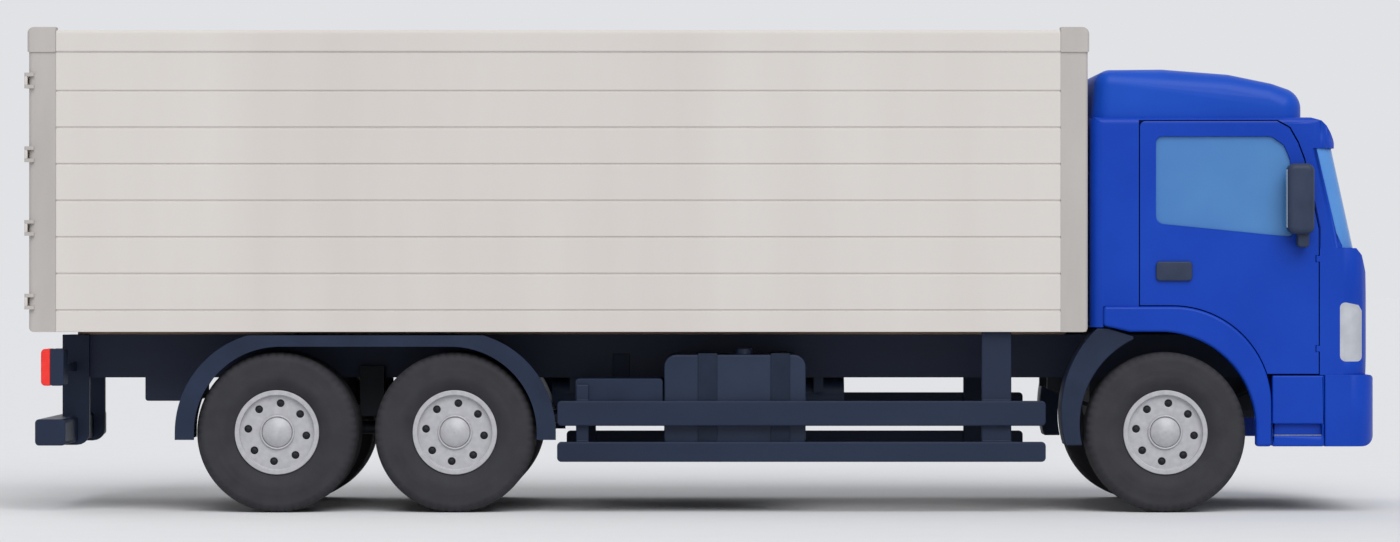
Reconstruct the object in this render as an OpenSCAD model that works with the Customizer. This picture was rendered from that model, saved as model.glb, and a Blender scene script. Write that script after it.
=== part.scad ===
// Three-axle box truck: cab-over tilting cab, ladder frame, dry-freight box with barn doors.
// Frame: +X forward, +Y left, +Z up, origin on the ground below the middle of the truck.

/* [Wheels] */
// Outside diameter of every tyre
tyre_d = 1124; // [1090:1:1150]
// Section width of a tyre
tyre_w = 320; // [300:1:330]
// Radius of a tyre's shoulders
shoulder_r = 65; // [40:1:80]
// Diameter of the seat that a tyre's beads grip
bead_d = 562; // [540:1:575]
// Outside diameter of the rim flange
flange_d = 592; // [580:1:620]
// Width of a rim over its flanges
rim_w = 250; // [230:1:270]
// Depth of the wheel disc below the rim flange
disc_recess = 35; // [25:1:45]
// Thickness of the wheel disc
disc_t = 15; // [10:1:20]
// Diameter of the domed hub cover
dome_d = 210; // [180:1:240]
// Height of the domed hub cover above its rim
dome_h = 32; // [20:1:40]
// Pitch circle of the holes in the disc
nut_pcd = 410; // [380:1:430]
// Diameter of the holes in the disc
nut_hole_d = 54; // [40:1:60]
// Number of holes in the disc
nut_count = 8; // [6:1:10]
// Distance between the two wheels of a twin pair
twin_pitch = 345; // [335:1:352]
// Distance between the middles of the two outer wheels of an axle
track_w = 2120; // [2100:1:2140]

/* [Axles] */
// Distance of the front axle ahead of the middle of the truck
front_axle_x = 3265; // [3200:1:3400]
// Distance from the front axle to the drive axle
wheelbase = 4985; // [4800:1:5400]
// Distance from the drive axle to the tag axle
bogie_pitch = 1248; // [1220:1:1400]
// Distance from the tag axle to the rear of the box
overhang = 1732; // [1650:1:2000]
// Distance of the kingpin inside the wheel's middle plane
kingpin_inset = 70; // [60:1:80]
// Diameter of the kingpin
kingpin_d = 60; // [50:1:66]
// Diameter of the wheel spindles
spindle_d = 90; // [76:1:100]
// Diameter of the rear axle tubes
axle_tube_d = 150; // [130:1:170]
// Running clearance round kingpins, spindles and hinge pins
run_gap = 0.5; // [0.3:0.1:0.9]

/* [Frame] */
// Width of the ladder frame over its webs
frame_w = 860; // [840:1:870]
// Width of a rail's flanges
rail_flange = 80; // [70:1:90]
// Height of a rail
rail_h = 308; // [290:1:320]
// Thickness of a rail's sheet
rail_t = 8; // [6:1:12]
// Height of the rails' top face above the wheels' axes
rail_rise = 677; // [670:1:690]
// Distance of the rails' rear end inside the rear of the box
frame_inset = 180; // [140:1:200]
// Coupling bolt spacing across the truck
coupling_y = 160; // [140:1:180]
// Coupling bolt spacing in height
coupling_z = 100; // [80:1:120]
// Diameter of the coupling bolt holes
coupling_hole_d = 21; // [17:1:25]

/* [Load box] */
// Gap between the box and the cab
cab_gap = 21; // [15:1:60]
// Width of the box over its walls
box_w = 2500; // [2490:1:2520]
// Height of the runners that carry the box on the frame
runner_h = 28; // [24:1:50]
// Height of the box from its underside to its roof
box_h = 2114; // [1900:1:2300]
// Height of the top rails
top_rail_h = 154; // [130:1:180]
// Thickness of the walls
wall_t = 60; // [50:1:70]
// Width of a corner post seen from the side
post_w = 190; // [170:1:210]
// Depth of a corner post across the truck
post_d = 120; // [100:1:140]
// Radius of the posts' outer edges
post_r = 30; // [15:1:35]
// How far caps and rails stand out from posts and walls
cap_proud = 10; // [6:1:14]
// How far the corner caps rise above the roof
cap_rise = 21; // [10:1:30]
// Thickness of the load floor
floor_t = 70; // [50:1:90]
// Height of the lowest groove above the box's underside
groove_first = 150; // [120:1:180]
// Distance between grooves
groove_pitch = 256; // [220:1:280]
// Width of a groove
groove_h = 14; // [10:1:24]
// Depth of a groove
groove_depth = 9; // [6:1:20]

/* [Rear doors] */
// Thickness of a door leaf
leaf_t = 50; // [40:1:55]
// Distance of a leaf's face in front of the posts' rear face
leaf_set_in = 60; // [50:1:70]
// Clearance round a leaf
leaf_gap = 10; // [8:1:14]
// Number of hinges on a leaf
hinge_n = 4; // [3:1:5]
// Thickness of a hinge strap
strap_t = 8; // [6:1:8]
// Height of a hinge strap
strap_h = 60; // [50:1:80]
// Outside diameter of the hinge knuckles
knuckle_d = 22; // [20:1:24]
// Diameter of the hinge pins
hinge_pin_d = 10; // [8:1:12]
// Diameter of a lock rod
lock_rod_d = 28; // [22:1:30]

/* [Cab] */
// Length of the cab behind the front axle
cab_behind = 528; // [500:1:560]
// Length of the cab
cab_l = 1951; // [1900:1:2000]
// Width of the cab
cab_w = 2440; // [2420:1:2450]
// Thickness of the cab's walls and doors
cab_wall = 70; // [60:1:76]
// Radius of the front corners below the windscreen
cab_corner_r = 180; // [170:1:200]
// Radius of the front corners at the windscreen and roof
screen_corner_r = 160; // [140:1:170]
// Radius of the rear corners
cab_rear_r = 90; // [80:1:110]
// Radius of the roof's long edges
roof_edge_r = 45; // [30:1:60]
// Height of the cab floor above the frame
cab_lift = 61; // [58:1:80]
// Thickness of the cab floor
cab_floor_t = 60; // [50:1:80]
// Height of the front panel below the cab floor
apron_h = 334; // [326:1:340]
// Height of the windscreen's foot above the underside of the cab floor
cowl_h = 555; // [530:1:600]
// Height of the windscreen
screen_h = 701; // [660:1:760]
// Height of the brow above the windscreen
brow_h = 216; // [205:1:250]
// Length of the cowl ahead of the windscreen
cowl_l = 86; // [70:1:110]
// Lean of the windscreen from upright
screen_tilt = 12.4; // [11:0.1:13]
// Set-back of the brow from the cab's foremost face
brow_back = 227; // [215:1:235]
// Thickness of the glass
glass_t = 12; // [8:1:16]
// Depth of the glass below the surface round it
glass_in = 8; // [4:1:14]
// Set-back of the cab's tilt axis from the cab's foremost face
pivot_back = 248; // [235:1:260]
// Height of the cab's tilt axis above the wheels' axes
pivot_rise = 58; // [50:1:70]
// Diameter of the tube that the cab tilts on
pivot_d = 76; // [60:1:80]

/* [Cab doors] */
// Length of the cab's side behind a door
quarter_l = 346; // [330:1:360]
// Length of the cab's side ahead of a door
nose_l = 353; // [345:1:365]
// Depth of a door's top edge below the roof
door_drop = 27; // [23:1:40]
// Gap between a door and the panels round it
shut_gap = 8; // [7:1:10]
// Distance of the hinge axis behind the door's front edge
hinge_back = 10; // [9:1:11]
// Distance of the hinge axis inside the door's skin
hinge_in = 8; // [7:1:10]
// Reach of the mirror beyond the door's skin
mirror_reach = 190; // [160:1:220]

/* [Wheel arch and bumper] */
// Radius of the arch trim's outer curve
arch_r = 690; // [680:1:696]
// Radius of the arch opening
arch_in_r = 668; // [660:1:672]
// How far the arch trim stands out from the doors
arch_proud = 30; // [20:1:35]
// Height of the bumper
bumper_h = 501; // [480:1:520]
// How far the bumper stands out ahead of the cab
bumper_proud = 47; // [30:1:60]

/* [Fuel tanks and guards] */
// Distance from the drive axle to the rear end of a fuel tank
tank_ahead = 1468; // [1460:1:1600]
// Length of a fuel tank
tank_l = 994; // [900:1:1200]
// Height of a fuel tank's underside above the ground
tank_clear = 440; // [430:1:460]
// Height of a fuel tank
tank_h = 666; // [640:1:680]
// Distance of the fuel tanks inside the sides of the box
tank_inset = 100; // [95:1:115]
// Radius of a fuel tank's long edges
tank_r = 85; // [60:1:110]
// Thickness of the tank straps
band_t = 10; // [6:1:12]
// Length of a stowage box
stow_l = 613; // [560:1:625]
// Distance of the stowage boxes inside the sides of the box
stow_inset = 80; // [75:1:85]
// Thickness of a side guard's posts
guard_post_t = 20; // [16:1:24]
// Thickness of a side guard's rails
guard_t = 50; // [40:1:54]
// Width of the rear mudguards' lips
mud_lip_w = 108; // [90:1:120]
// Distance of the rear mudguards' lips inside the sides of the box
mud_inset = 5; // [3:1:12]

/* [Hidden] */
$fn = 64;

// Places along the truck
drive_axle_x = front_axle_x - wheelbase;
tag_axle_x = drive_axle_x - bogie_pitch;
bogie_x = (drive_axle_x + tag_axle_x) / 2;
bogie_half = bogie_pitch / 2;
box_rear = tag_axle_x - overhang;
cab_rear = front_axle_x - cab_behind;
cab_front_x = cab_rear + cab_l;
box_front = cab_rear - cab_gap;
screen_x = cab_front_x - cowl_l;
brow_x = cab_front_x - brow_back;
pivot_x = cab_front_x - pivot_back;
frame_rear = box_rear + frame_inset;
frame_front = pivot_x - 60;
door_rear = cab_rear + quarter_l;
door_front = cab_front_x - nose_l;
bumper_front = cab_front_x + bumper_proud;
bumper_rear = door_front + 40;
leaf_x = box_rear + leaf_set_in;
tank_rear = drive_axle_x + tank_ahead;
tank_front = tank_rear + tank_l;
stow_front = tank_rear - 10;
stow_rear = stow_front - stow_l;

// Places across the truck, as half widths
wheel_y = track_w / 2;
kingpin_y = wheel_y - kingpin_inset;
rail_out = frame_w / 2;
rail_in = rail_out - rail_flange;
box_half = box_w / 2;
cab_half = cab_w / 2;
tank_out = box_half - tank_inset;
stow_out = box_half - stow_inset;
mud_y = box_half - mud_inset;

// Heights
axle_z = tyre_d / 2;
rail_top = axle_z + rail_rise;
rail_base = rail_top - rail_h;
box_base = rail_top + runner_h;
box_top = box_base + box_h;
box_rail_z = box_top - top_rail_h;
cab_floor_z = rail_top + cab_lift;
floor_top = cab_floor_z + cab_floor_t;
seam_z = cab_floor_z - apron_h;
skirt_z = seam_z - bumper_h;
cowl_z = cab_floor_z + cowl_h;
brow_z = cowl_z + screen_h;
roof_z = brow_z + brow_h;
door_top = roof_z - door_drop;
door_foot = seam_z + 8;
pivot_z = axle_z + pivot_rise;
tank_base = tank_clear;
tank_top = tank_base + tank_h;

// Axes of the hinges
rear_hinge_x = box_rear - knuckle_d / 2 - 5;
rear_hinge_y = box_half + cap_proud + 5;
door_axis_x = door_front - hinge_back;
door_axis_y = cab_half - hinge_in;

// Front wheel arch: outer curve of its trim and the opening
arch_x = front_axle_x + 47;
arch_z = axle_z + 194;
arch_in_x = front_axle_x - 40;
arch_in_z = axle_z + 38;
arch_rear = cab_rear + 89;
arch_top = arch_z + arch_r;
arch_foot = arch_in_z + arch_in_r;

// Forms that repeat

// A span [low, high] about a middle, and one upwards from its low end
function around(mid, half) = [mid - half, mid + half];
function above(low, size) = [low, low + size];

// A block between two corners, given as [low, high] in x, y and z
module block(x, y, z) {
    translate([x[0], y[0], z[0]]) cube([x[1] - x[0], y[1] - y[0], z[1] - z[0]]);
}

// A side view, drawn in x and z, carried across the truck
module along_y(y) {
    translate([0, y[1], 0]) rotate([90, 0, 0]) linear_extrude(y[1] - y[0]) children();
}

// A rear view, drawn in y and z, carried along the truck
module along_x(x) {
    translate([x[0], 0, 0]) rotate([90, 0, 90]) linear_extrude(x[1] - x[0]) children();
}

// A plan view, drawn in x and y, carried upwards
module along_z(z) {
    translate([0, 0, z[0]]) linear_extrude(z[1] - z[0]) children();
}

// The left side as drawn, and the right side as its mirror image
module both_sides() {
    children();
    mirror([0, 1, 0]) children();
}

// The right side as the mirror image of what is drawn on the left
module on_right() {
    mirror([0, 1, 0]) children();
}

// A round bar between two points
module bar(a, b, r) {
    v = b - a;
    translate(a) rotate([0, acos(v[2] / norm(v)), atan2(v[1], v[0])]) cylinder(h = norm(v), r = r);
}

// A rectangle [low, high] by [low, high] with round corners
module round_rect(x, y, r) {
    translate([x[0] + r, y[0]]) square([x[1] - x[0] - 2 * r, y[1] - y[0]]);
    translate([x[0], y[0] + r]) square([x[1] - x[0], y[1] - y[0] - 2 * r]);
    for (cx = [x[0] + r, x[1] - r], cy = [y[0] + r, y[1] - r]) translate([cx, cy]) circle(r);
}

// A plan with round front corners of radius rf and rear corners of radius rr
module plan_shape(x, half, rf, rr) {
    translate([x[0] + rr, -half]) square([x[1] - rf - x[0] - rr, 2 * half]);
    translate([x[0], rr - half]) square([x[1] - rf - x[0], 2 * (half - rr)]);
    translate([x[1] - 2 * rf, rf - half]) square([2 * rf, 2 * (half - rf)]);
    for (s = [-1, 1]) {
        translate([x[1] - rf, s * (half - rf)]) circle(rf);
        translate([x[0] + rr, s * (half - rr)]) circle(rr);
    }
}

// Points of an outline with its corners rounded to the radii given, corner by corner
function unit(v) = v / norm(v);
function arc_step(a, b) = (b - a + 540) % 360 - 180;
function corner(a, b, c, r, n) =
    let (u = unit(a - b), w = unit(c - b), half = acos(u * w) / 2,
         o = b + unit(u + w) * r / sin(half),
         p = b + u * r / tan(half) - o, q = b + w * r / tan(half) - o,
         t = atan2(p[1], p[0]), d = arc_step(t, atan2(q[1], q[0])))
    [for (i = [0:n]) o + r * [cos(t + d * i / n), sin(t + d * i / n)]];
function rounded(pts, radii, n = 5) = let (m = len(pts)) [
    for (i = [0:m - 1]) each radii[i] > 0
        ? corner(pts[(i + m - 1) % m], pts[i], pts[(i + 1) % m], radii[i], n) : [pts[i]]];

// Ladder frame

engine_x = [cab_rear + 63, front_axle_x + 935];
engine_half = rail_in - 20;
engine_z = [axle_z + 78, cab_floor_z - 15];
gearbox_x = [cab_rear - 487, engine_x[0]];
gearbox_half = 190;
gearbox_z = [rail_base + 14, rail_top - 39];

// Crossmembers: [middle along the truck, half length]
crossmembers = [[frame_rear + 40, 40], [bogie_x, 60], [drive_axle_x + 1020, 40], [tank_front - 142, 40],
                [gearbox_x[0] - 150, 40], [frame_front - 50, 40]];
crossmember_h = 80;
drop_beam_x = [box_rear + 724, box_rear + 1095];
drop_beam_h = 168;
pivot_eye_r = pivot_d / 2 + 24;
pivot_half = rail_out + 20;

module coupling_holes() {
    for (y = [-1, 1] * coupling_y / 2, z = [-1, 1] * coupling_z / 2)
        translate([frame_rear - 1, y, (rail_base + rail_top) / 2 + z])
            rotate([0, 90, 0]) cylinder(h = 60, d = coupling_hole_d);
}

module chassis_frame() color("#232733") {
    difference() {
        union() {
            both_sides() {
                difference() {
                    block([frame_rear, frame_front], [rail_in, rail_out], [rail_base, rail_top]);
                    block([frame_rear - 1, frame_front + 1], [rail_in - 1, rail_out - rail_t],
                          [rail_base + rail_t, rail_top - rail_t]);
                }
                along_y([rail_in, rail_out]) {
                    polygon([[frame_front - 130, rail_base + 1], [frame_front, rail_base + 1],
                             [pivot_x + pivot_eye_r * 0.9, pivot_z + 20],
                             [pivot_x - pivot_eye_r * 0.9, pivot_z - 20]]);
                    translate([pivot_x, pivot_z]) circle(pivot_eye_r);
                }
            }
            for (m = crossmembers)
                block([m[0] - m[1], m[0] + m[1]], [-1, 1] * (rail_out - rail_t),
                      [rail_top - rail_t - crossmember_h, rail_top - rail_t]);
            block([frame_rear, frame_rear + 20], [-1, 1] * (rail_out - rail_t),
                  [rail_base + rail_t, rail_top - rail_t]);
            along_y([-1, 1] * rail_out)
                polygon(rounded([[drop_beam_x[0], rail_base - drop_beam_h],
                                 [drop_beam_x[1], rail_base - drop_beam_h], [drop_beam_x[1], rail_base + 1],
                                 [drop_beam_x[0], rail_base + 1]], [20, 20, 0, 0]));
            translate([pivot_x, pivot_half, pivot_z]) rotate([90, 0, 0])
                cylinder(h = 2 * pivot_half, d = pivot_d);
        }
        coupling_holes();
    }
}

// Engine and gearbox, a plain block each, hung on the frame by lugs on the rails' lower flanges
lug_places = [front_axle_x - 65, front_axle_x + 635];
lug_l = 120;
lug_t = 26;

module engine_block() color("#3a3d44") {
    along_x(engine_x) round_rect([-1, 1] * engine_half, engine_z, 60);
    along_x(gearbox_x) round_rect([-1, 1] * gearbox_half, gearbox_z, 60);
    both_sides() for (x = lug_places)
        block(above(x, lug_l), [engine_half - 20, rail_out - rail_t - 5],
              [rail_base + rail_t, rail_base + rail_t + lug_t]);
}

// Front axle, its springs and the steering knuckles
beam_half = 50;
beam_z = [axle_z - 57, axle_z + 53];
boss_r = kingpin_d / 2 + 28;
boss_half = 85;
leaf_r = 1506;
spring_half = 750;
spring_leaf_t = 14;
shackle_h = 81;
spring_y = [rail_in + 5, rail_out - 5];
// Front spring leaves from the longest down: share of the half length
spring_leaves = [1, 0.8, 0.6, 0.4];

module front_axle() color("#33363d") {
    difference() {
        union() {
            block([front_axle_x - beam_half, front_axle_x + beam_half], [-1, 1] * kingpin_y, beam_z);
            both_sides() translate([front_axle_x, kingpin_y, axle_z - boss_half])
                cylinder(h = 2 * boss_half, r = boss_r);
        }
        both_sides() translate([front_axle_x, kingpin_y, axle_z - boss_half - 1])
            cylinder(h = 2 * boss_half + 2, r = kingpin_d / 2 + run_gap);
    }
}

module front_springs() color("#2a2c31") both_sides() {
    along_y(spring_y) for (i = [0:len(spring_leaves) - 1]) intersection() {
        translate([front_axle_x, beam_z[1] + len(spring_leaves) * spring_leaf_t + leaf_r]) difference() {
            circle(leaf_r + (i + 1) * spring_leaf_t, $fn = 128);
            circle(leaf_r + i * spring_leaf_t, $fn = 128);
        }
        translate([front_axle_x - spring_half * spring_leaves[i], 0])
            square([2 * spring_half * spring_leaves[i], rail_base]);
    }
    for (s = [-1, 1])
        block(around(front_axle_x + s * (spring_half - 20), 45), spring_y,
              [rail_base - shackle_h, rail_base]);
}

fork_t = 45;
fork_z = boss_half + 5;
upright_y = [kingpin_y + boss_r + 5, kingpin_y + boss_r + 40];
spindle_end = wheel_y + rim_w / 2 - disc_recess + 3;

module knuckle() color("#3c4048") {
    translate([front_axle_x, kingpin_y, axle_z - fork_z - fork_t])
        cylinder(h = 2 * (fork_z + fork_t), d = kingpin_d);
    for (z = [axle_z - fork_z - fork_t, axle_z + fork_z]) {
        translate([front_axle_x, kingpin_y, z]) cylinder(h = fork_t, r = boss_r);
        block([front_axle_x - boss_r, front_axle_x + boss_r], [kingpin_y, upright_y[1]], [z, z + fork_t]);
    }
    block([front_axle_x - boss_r, front_axle_x + boss_r], upright_y,
          around(axle_z, fork_z + fork_t));
    bar([front_axle_x, upright_y[0], axle_z], [front_axle_x, spindle_end, axle_z], spindle_d / 2);
}

module knuckle_left() knuckle();
module knuckle_right() on_right() knuckle();

// Rear axles with their differentials, spindles and spring pads
diff_r = 190;
nose_r = 80;
nose_front = 270;
nose_rear = 200;
hub_inner_y = wheel_y - twin_pitch - 55;
rear_spring_y = [rail_out + 10, rail_out + 110];
pad_top = axle_z + axle_tube_d / 2 + 20;

module rear_axles() color("#33363d") for (x = [drive_axle_x, tag_axle_x]) {
    translate([x, 0, axle_z]) sphere(diff_r);
    bar([x, 0, axle_z], [x + nose_front, 0, axle_z], nose_r);
    bar([x, 0, axle_z], [x - nose_rear, 0, axle_z], nose_r);
    bar([x, 8 - hub_inner_y, axle_z], [x, hub_inner_y - 8, axle_z], axle_tube_d / 2);
    bar([x, -spindle_end, axle_z], [x, spindle_end, axle_z], spindle_d / 2);
    both_sides() block([x - 60, x + 60], rear_spring_y, [axle_z, pad_top]);
}

// Rear springs, each a stack of leaves clamped under a trunnion on the frame
rear_leaf_t = 15;
rear_leaf_n = 5;
rear_leaf_step = 110;
trunnion_half = 87;
trunnion_rise = 84;

module rear_suspension() color("#2a2c31") both_sides() {
    for (i = [0:rear_leaf_n - 1])
        block(around(bogie_x, bogie_half + 60 - i * rear_leaf_step), rear_spring_y,
              above(pad_top + i * rear_leaf_t, rear_leaf_t));
    block(around(bogie_x, trunnion_half), [rail_out, rear_spring_y[1]],
          [pad_top + rear_leaf_n * rear_leaf_t, rail_base + trunnion_rise]);
}

// Propeller shafts: gearbox to centre bearing, bearing to drive axle, drive axle to tag axle
shaft_r = 50;
shaft_flange_r = 70;
shaft_flange_t = 20;
bearing_x = crossmembers[3][0];
bearing_z = rail_top - 259;
gearbox_out_z = rail_top - 189;

module propshafts() color("#4a4d54") {
    bar([gearbox_x[0] - shaft_flange_t, 0, gearbox_out_z], [gearbox_x[0], 0, gearbox_out_z], shaft_flange_r);
    bar([gearbox_x[0] - shaft_flange_t, 0, gearbox_out_z], [bearing_x, 0, bearing_z], shaft_r);
    block(around(bearing_x, 30), [-90, 90], [bearing_z - 80, rail_top - rail_t - crossmember_h]);
    bar([bearing_x, 0, bearing_z], [drive_axle_x + nose_front + shaft_flange_t, 0, axle_z], shaft_r);
    bar([drive_axle_x + nose_front, 0, axle_z],
        [drive_axle_x + nose_front + shaft_flange_t, 0, axle_z], shaft_flange_r);
    bar([tag_axle_x + nose_front, 0, axle_z], [drive_axle_x - nose_rear, 0, axle_z], shaft_r);
}

// Fuel tanks, their straps, the stowage boxes behind them and the air tanks between the rails
tank_in = rail_out + 40;
// Straps round a tank: [rear edge, front edge] from the tank's rear end
strap_places = [[238, 373], [tank_l - 245, tank_l - 110]];
filler_x = tank_rear + (strap_places[0][1] + strap_places[1][0]) / 2;
filler_r = 60;
filler_h = 45;
stow_z = [tank_base + 200, tank_base + 498];
stow_in = 600;
stow_hook = above(stow_rear + 250, 120);
air_r = 105;
air_y = 230;
air_x = [drive_axle_x + 656, tank_front + 294];
saddle_places = [air_x[0] + 164, (air_x[0] + air_x[1]) / 2, air_x[1] - 186];

module fuel_tanks() color("#313a4b") both_sides() {
    along_y([tank_in, tank_out]) round_rect([tank_rear, tank_front], [tank_base, tank_top], tank_r);
    translate([filler_x, tank_out - 160, tank_top]) cylinder(h = filler_h, r = filler_r);
}

module tank_straps() color("#2b3342") both_sides() for (p = strap_places) {
    difference() {
        block([tank_rear + p[0], tank_rear + p[1]], [tank_in - band_t, tank_out + band_t],
              [tank_base - band_t, tank_top + band_t]);
        block([tank_rear + p[0] - 1, tank_rear + p[1] + 1], [tank_in, tank_out], [tank_base, tank_top]);
    }
    block([tank_rear + p[0], tank_rear + p[1]], [rail_out, tank_in - band_t],
          [rail_base + 20, tank_top - 20]);
}

module stowage_boxes() color("#2e3547") both_sides() {
    along_y([stow_in, stow_out]) round_rect([stow_rear, stow_front], stow_z, 25);
    block(stow_hook, [rail_out, rail_out + 15], [stow_z[1] - 80, rail_base + 170]);
    block(stow_hook, [rail_out, stow_in + 1], [stow_z[1] - 80, stow_z[1] - 10]);
}

module air_tanks() color("#2b2f3a") both_sides() {
    bar([air_x[0], air_y, rail_base - air_r], [air_x[1], air_y, rail_base - air_r], air_r);
    for (x = saddle_places) block([x - 35, x + 35], [air_y, rail_in + 50], [rail_base - air_r, rail_base]);
}

// Side guards: two rails on a post at the stowage box and a post under the load floor
guard_x = [drive_axle_x + 719, cab_rear - 315];
// Guard rails: [lower edge, upper edge]
guard_rails = [[tank_base - 83, tank_base + 57], [tank_base + 169, tank_base + 344]];
guard_front_post = [cab_rear - 763, cab_rear - 553];
guard_in = stow_out + guard_post_t;

module side_guards() color("#303749") both_sides() {
    for (z = guard_rails) along_y([guard_in, guard_in + guard_t]) round_rect(guard_x, z, 30);
    block([stow_rear + 5, stow_rear + 95], [stow_out, guard_in], [guard_rails[0][0] + 40, stow_z[1] - 40]);
    block(guard_front_post, [stow_out, guard_in], [guard_rails[0][0] + 40, box_base]);
}

// Rear mudguards: one long arch a side over both axles, a broad lip outside and a thin sheet behind it
mud_foot = axle_z - 51;
mud_top = box_base - 24;
mud_in_r = axle_z + 40;
mud_out_r = mud_in_r + mud_lip_w;
mud_shift = 25;
mud_sheet_r = mud_in_r + 23;
mud_sheet_t = 15;
mud_lip_t = 30;
mud_inner_y = wheel_y - twin_pitch - tyre_w / 2 + 5;

// A round arch over each axle, drawn in by shift, with a level top between them
module long_arch(r, shift) intersection() {
    union() {
        for (x = [drive_axle_x - shift, tag_axle_x + shift]) {
            translate([x, axle_z]) circle(r, $fn = 96);
            translate([x - r, mud_foot - 1]) square([2 * r, axle_z - mud_foot + 1]);
        }
        translate([tag_axle_x, mud_foot - 1]) square([bogie_pitch, axle_z + r - mud_foot + 1]);
    }
    translate([tag_axle_x - 2 * r, mud_foot - 1]) square([4 * r + bogie_pitch, mud_top - mud_foot + 1]);
}

module arch_band(r_out, r_in, shift) difference() {
    long_arch(r_out, 0);
    long_arch(r_in, shift);
    translate([tag_axle_x - 2 * r_out, mud_foot - 2]) square([4 * r_out + bogie_pitch, 2]);
}

module rear_mudguards() color("#303749") both_sides() {
    along_y([mud_y - mud_lip_t, mud_y]) arch_band(mud_out_r, mud_in_r, mud_shift);
    along_y([mud_inner_y, mud_y - mud_lip_t]) arch_band(mud_sheet_r + mud_sheet_t, mud_sheet_r, 0);
    for (x = [drive_axle_x, tag_axle_x])
        block([x - 25, x + 25], [rail_out, mud_y - mud_lip_t],
              above(axle_z + mud_sheet_r + mud_sheet_t / 2, 38));
}

// Front mudguards behind the front wheels, on stays from the frame
front_mud_in = [arch_in_x + 95, arch_in_z + 20, 658];
front_mud_out = [arch_in_x + 125, arch_in_z + 100, 820];
front_mud_y = [cab_half - 320, cab_half - 5];
front_mud_top = cab_floor_z - 8;
front_stay_z = [rail_base + 69, rail_base + 129];

module front_mudguards() color("#2e3547") both_sides() {
    along_y(front_mud_y) intersection() {
        difference() {
            translate([front_mud_out[0], front_mud_out[1]]) circle(front_mud_out[2], $fn = 96);
            translate([front_mud_in[0], front_mud_in[1]]) circle(front_mud_in[2], $fn = 96);
        }
        polygon([[arch_rear - 376, skirt_z + 7], [arch_rear - 66, skirt_z + 7],
                 [arch_rear + 213, arch_foot - 168], [arch_rear + 213, arch_foot - 31],
                 [arch_rear + 35, front_mud_top], [arch_rear - 376, front_mud_top]]);
    }
    block([arch_rear - 176, arch_rear - 126], [rail_out, front_mud_y[0] + 1], front_stay_z);
}

// Underrun guard with its brackets, lamp carriers and lamp housings, and the lamps' lenses
under_x = [box_rear + 35, box_rear + 248];
under_z = [axle_z - 93, axle_z + 92];
under_half = box_half - 70;
bracket_x = [box_rear + 136, box_rear + 329];
bracket_t = 50;
bracket_z = [under_z[0] - 20, rail_top];
lamp_x = [box_rear + 77, box_rear + 143, box_rear + 238];
lamp_y = [box_half - 290, box_half - 55];
lamp_z = [rail_base - 42, rail_top - 91];

module underrun_guard() color("#303749") {
    along_y([-under_half, under_half]) round_rect(under_x, under_z, 28);
    both_sides() {
        along_y([rail_out, rail_out + bracket_t])
            polygon(rounded([[bracket_x[0], bracket_z[0]], [bracket_x[1], bracket_z[0]],
                             [bracket_x[1], bracket_z[1]], [bracket_x[0], bracket_z[1]]], [20, 90, 0, 0]));
        block([lamp_x[2] - 30, lamp_x[2]], [rail_out, lamp_y[0] + 20], [lamp_z[0] + 90, lamp_z[0] + 150]);
        along_y(lamp_y) round_rect([lamp_x[1], lamp_x[2]], lamp_z, 20);
    }
}

module tail_lamps() color("#e5463c") both_sides()
    along_y(lamp_y + [5, -5]) polygon(rounded([[lamp_x[0], lamp_z[0]], [lamp_x[1], lamp_z[0]],
        [lamp_x[1], lamp_z[1]], [lamp_x[0], lamp_z[1]]], [30, 0, 0, 30]));

// Load box

post_in = box_half - post_d;
wall_in = box_half - wall_t;
box_mid = [box_rear + post_w, box_front - post_w];
runner_ends = [60, 100];
sill_t = 13;

module box_floor() color("#b9b5b1") {
    block(box_mid, [-1, 1] * wall_in, above(box_base, floor_t));
    block([leaf_x + leaf_t + leaf_gap, box_front - wall_t], [-1, 1] * post_in, above(box_base, floor_t));
    block([box_rear + 10, box_mid[0]], [-1, 1] * post_in, above(box_base, sill_t));
    both_sides() block([frame_rear + runner_ends[0], box_front - runner_ends[1]], [rail_in, rail_out],
                       [rail_top, box_base]);
}

module wall_grooves() for (z = [box_base + groove_first:groove_pitch:box_rail_z - groove_pitch / 4])
    translate([0, z - groove_h / 2]) children();

module box_walls() color("#dad5d1") {
    both_sides() along_x(box_mid) difference() {
        translate([wall_in, box_base]) square([wall_t, box_rail_z - box_base]);
        wall_grooves() translate([box_half - groove_depth, 0]) square([groove_depth + 1, groove_h]);
    }
    along_y([-1, 1] * post_in) difference() {
        translate([box_front - wall_t, box_base]) square([wall_t, box_rail_z - box_base]);
        wall_grooves() translate([box_front - groove_depth, 0]) square([groove_depth + 1, groove_h]);
    }
}

header_t = 80;

module box_roof() color("#dbd6d3") {
    block(box_mid, [-1, 1] * (wall_in + 1), [box_top - wall_t, box_top]);
    both_sides() along_x(box_mid)
        polygon(rounded([[wall_in, box_rail_z], [box_half + cap_proud, box_rail_z],
                         [box_half + cap_proud, box_top], [wall_in, box_top]], [0, 12, 25, 0]));
    block([box_rear, box_front], [-1, 1] * post_in, [box_top - wall_t, box_top]);
    block([box_rear, box_rear + header_t], [-1, 1] * post_in, [box_rail_z, box_top]);
    block([box_front - wall_t, box_front], [-1, 1] * post_in, [box_rail_z, box_top]);
}

leaf_z = [box_base + sill_t + leaf_gap, box_rail_z - leaf_gap];
hinge_first = 190;
hinge_z = [for (i = [0:hinge_n - 1])
    leaf_z[0] + hinge_first + i * (leaf_z[1] - leaf_z[0] - 2 * hinge_first) / (hinge_n - 1)];
ear_h = 25;
post_foot_r = 35;
cap_r = 50;
cap_foot_r = 10;

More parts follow.
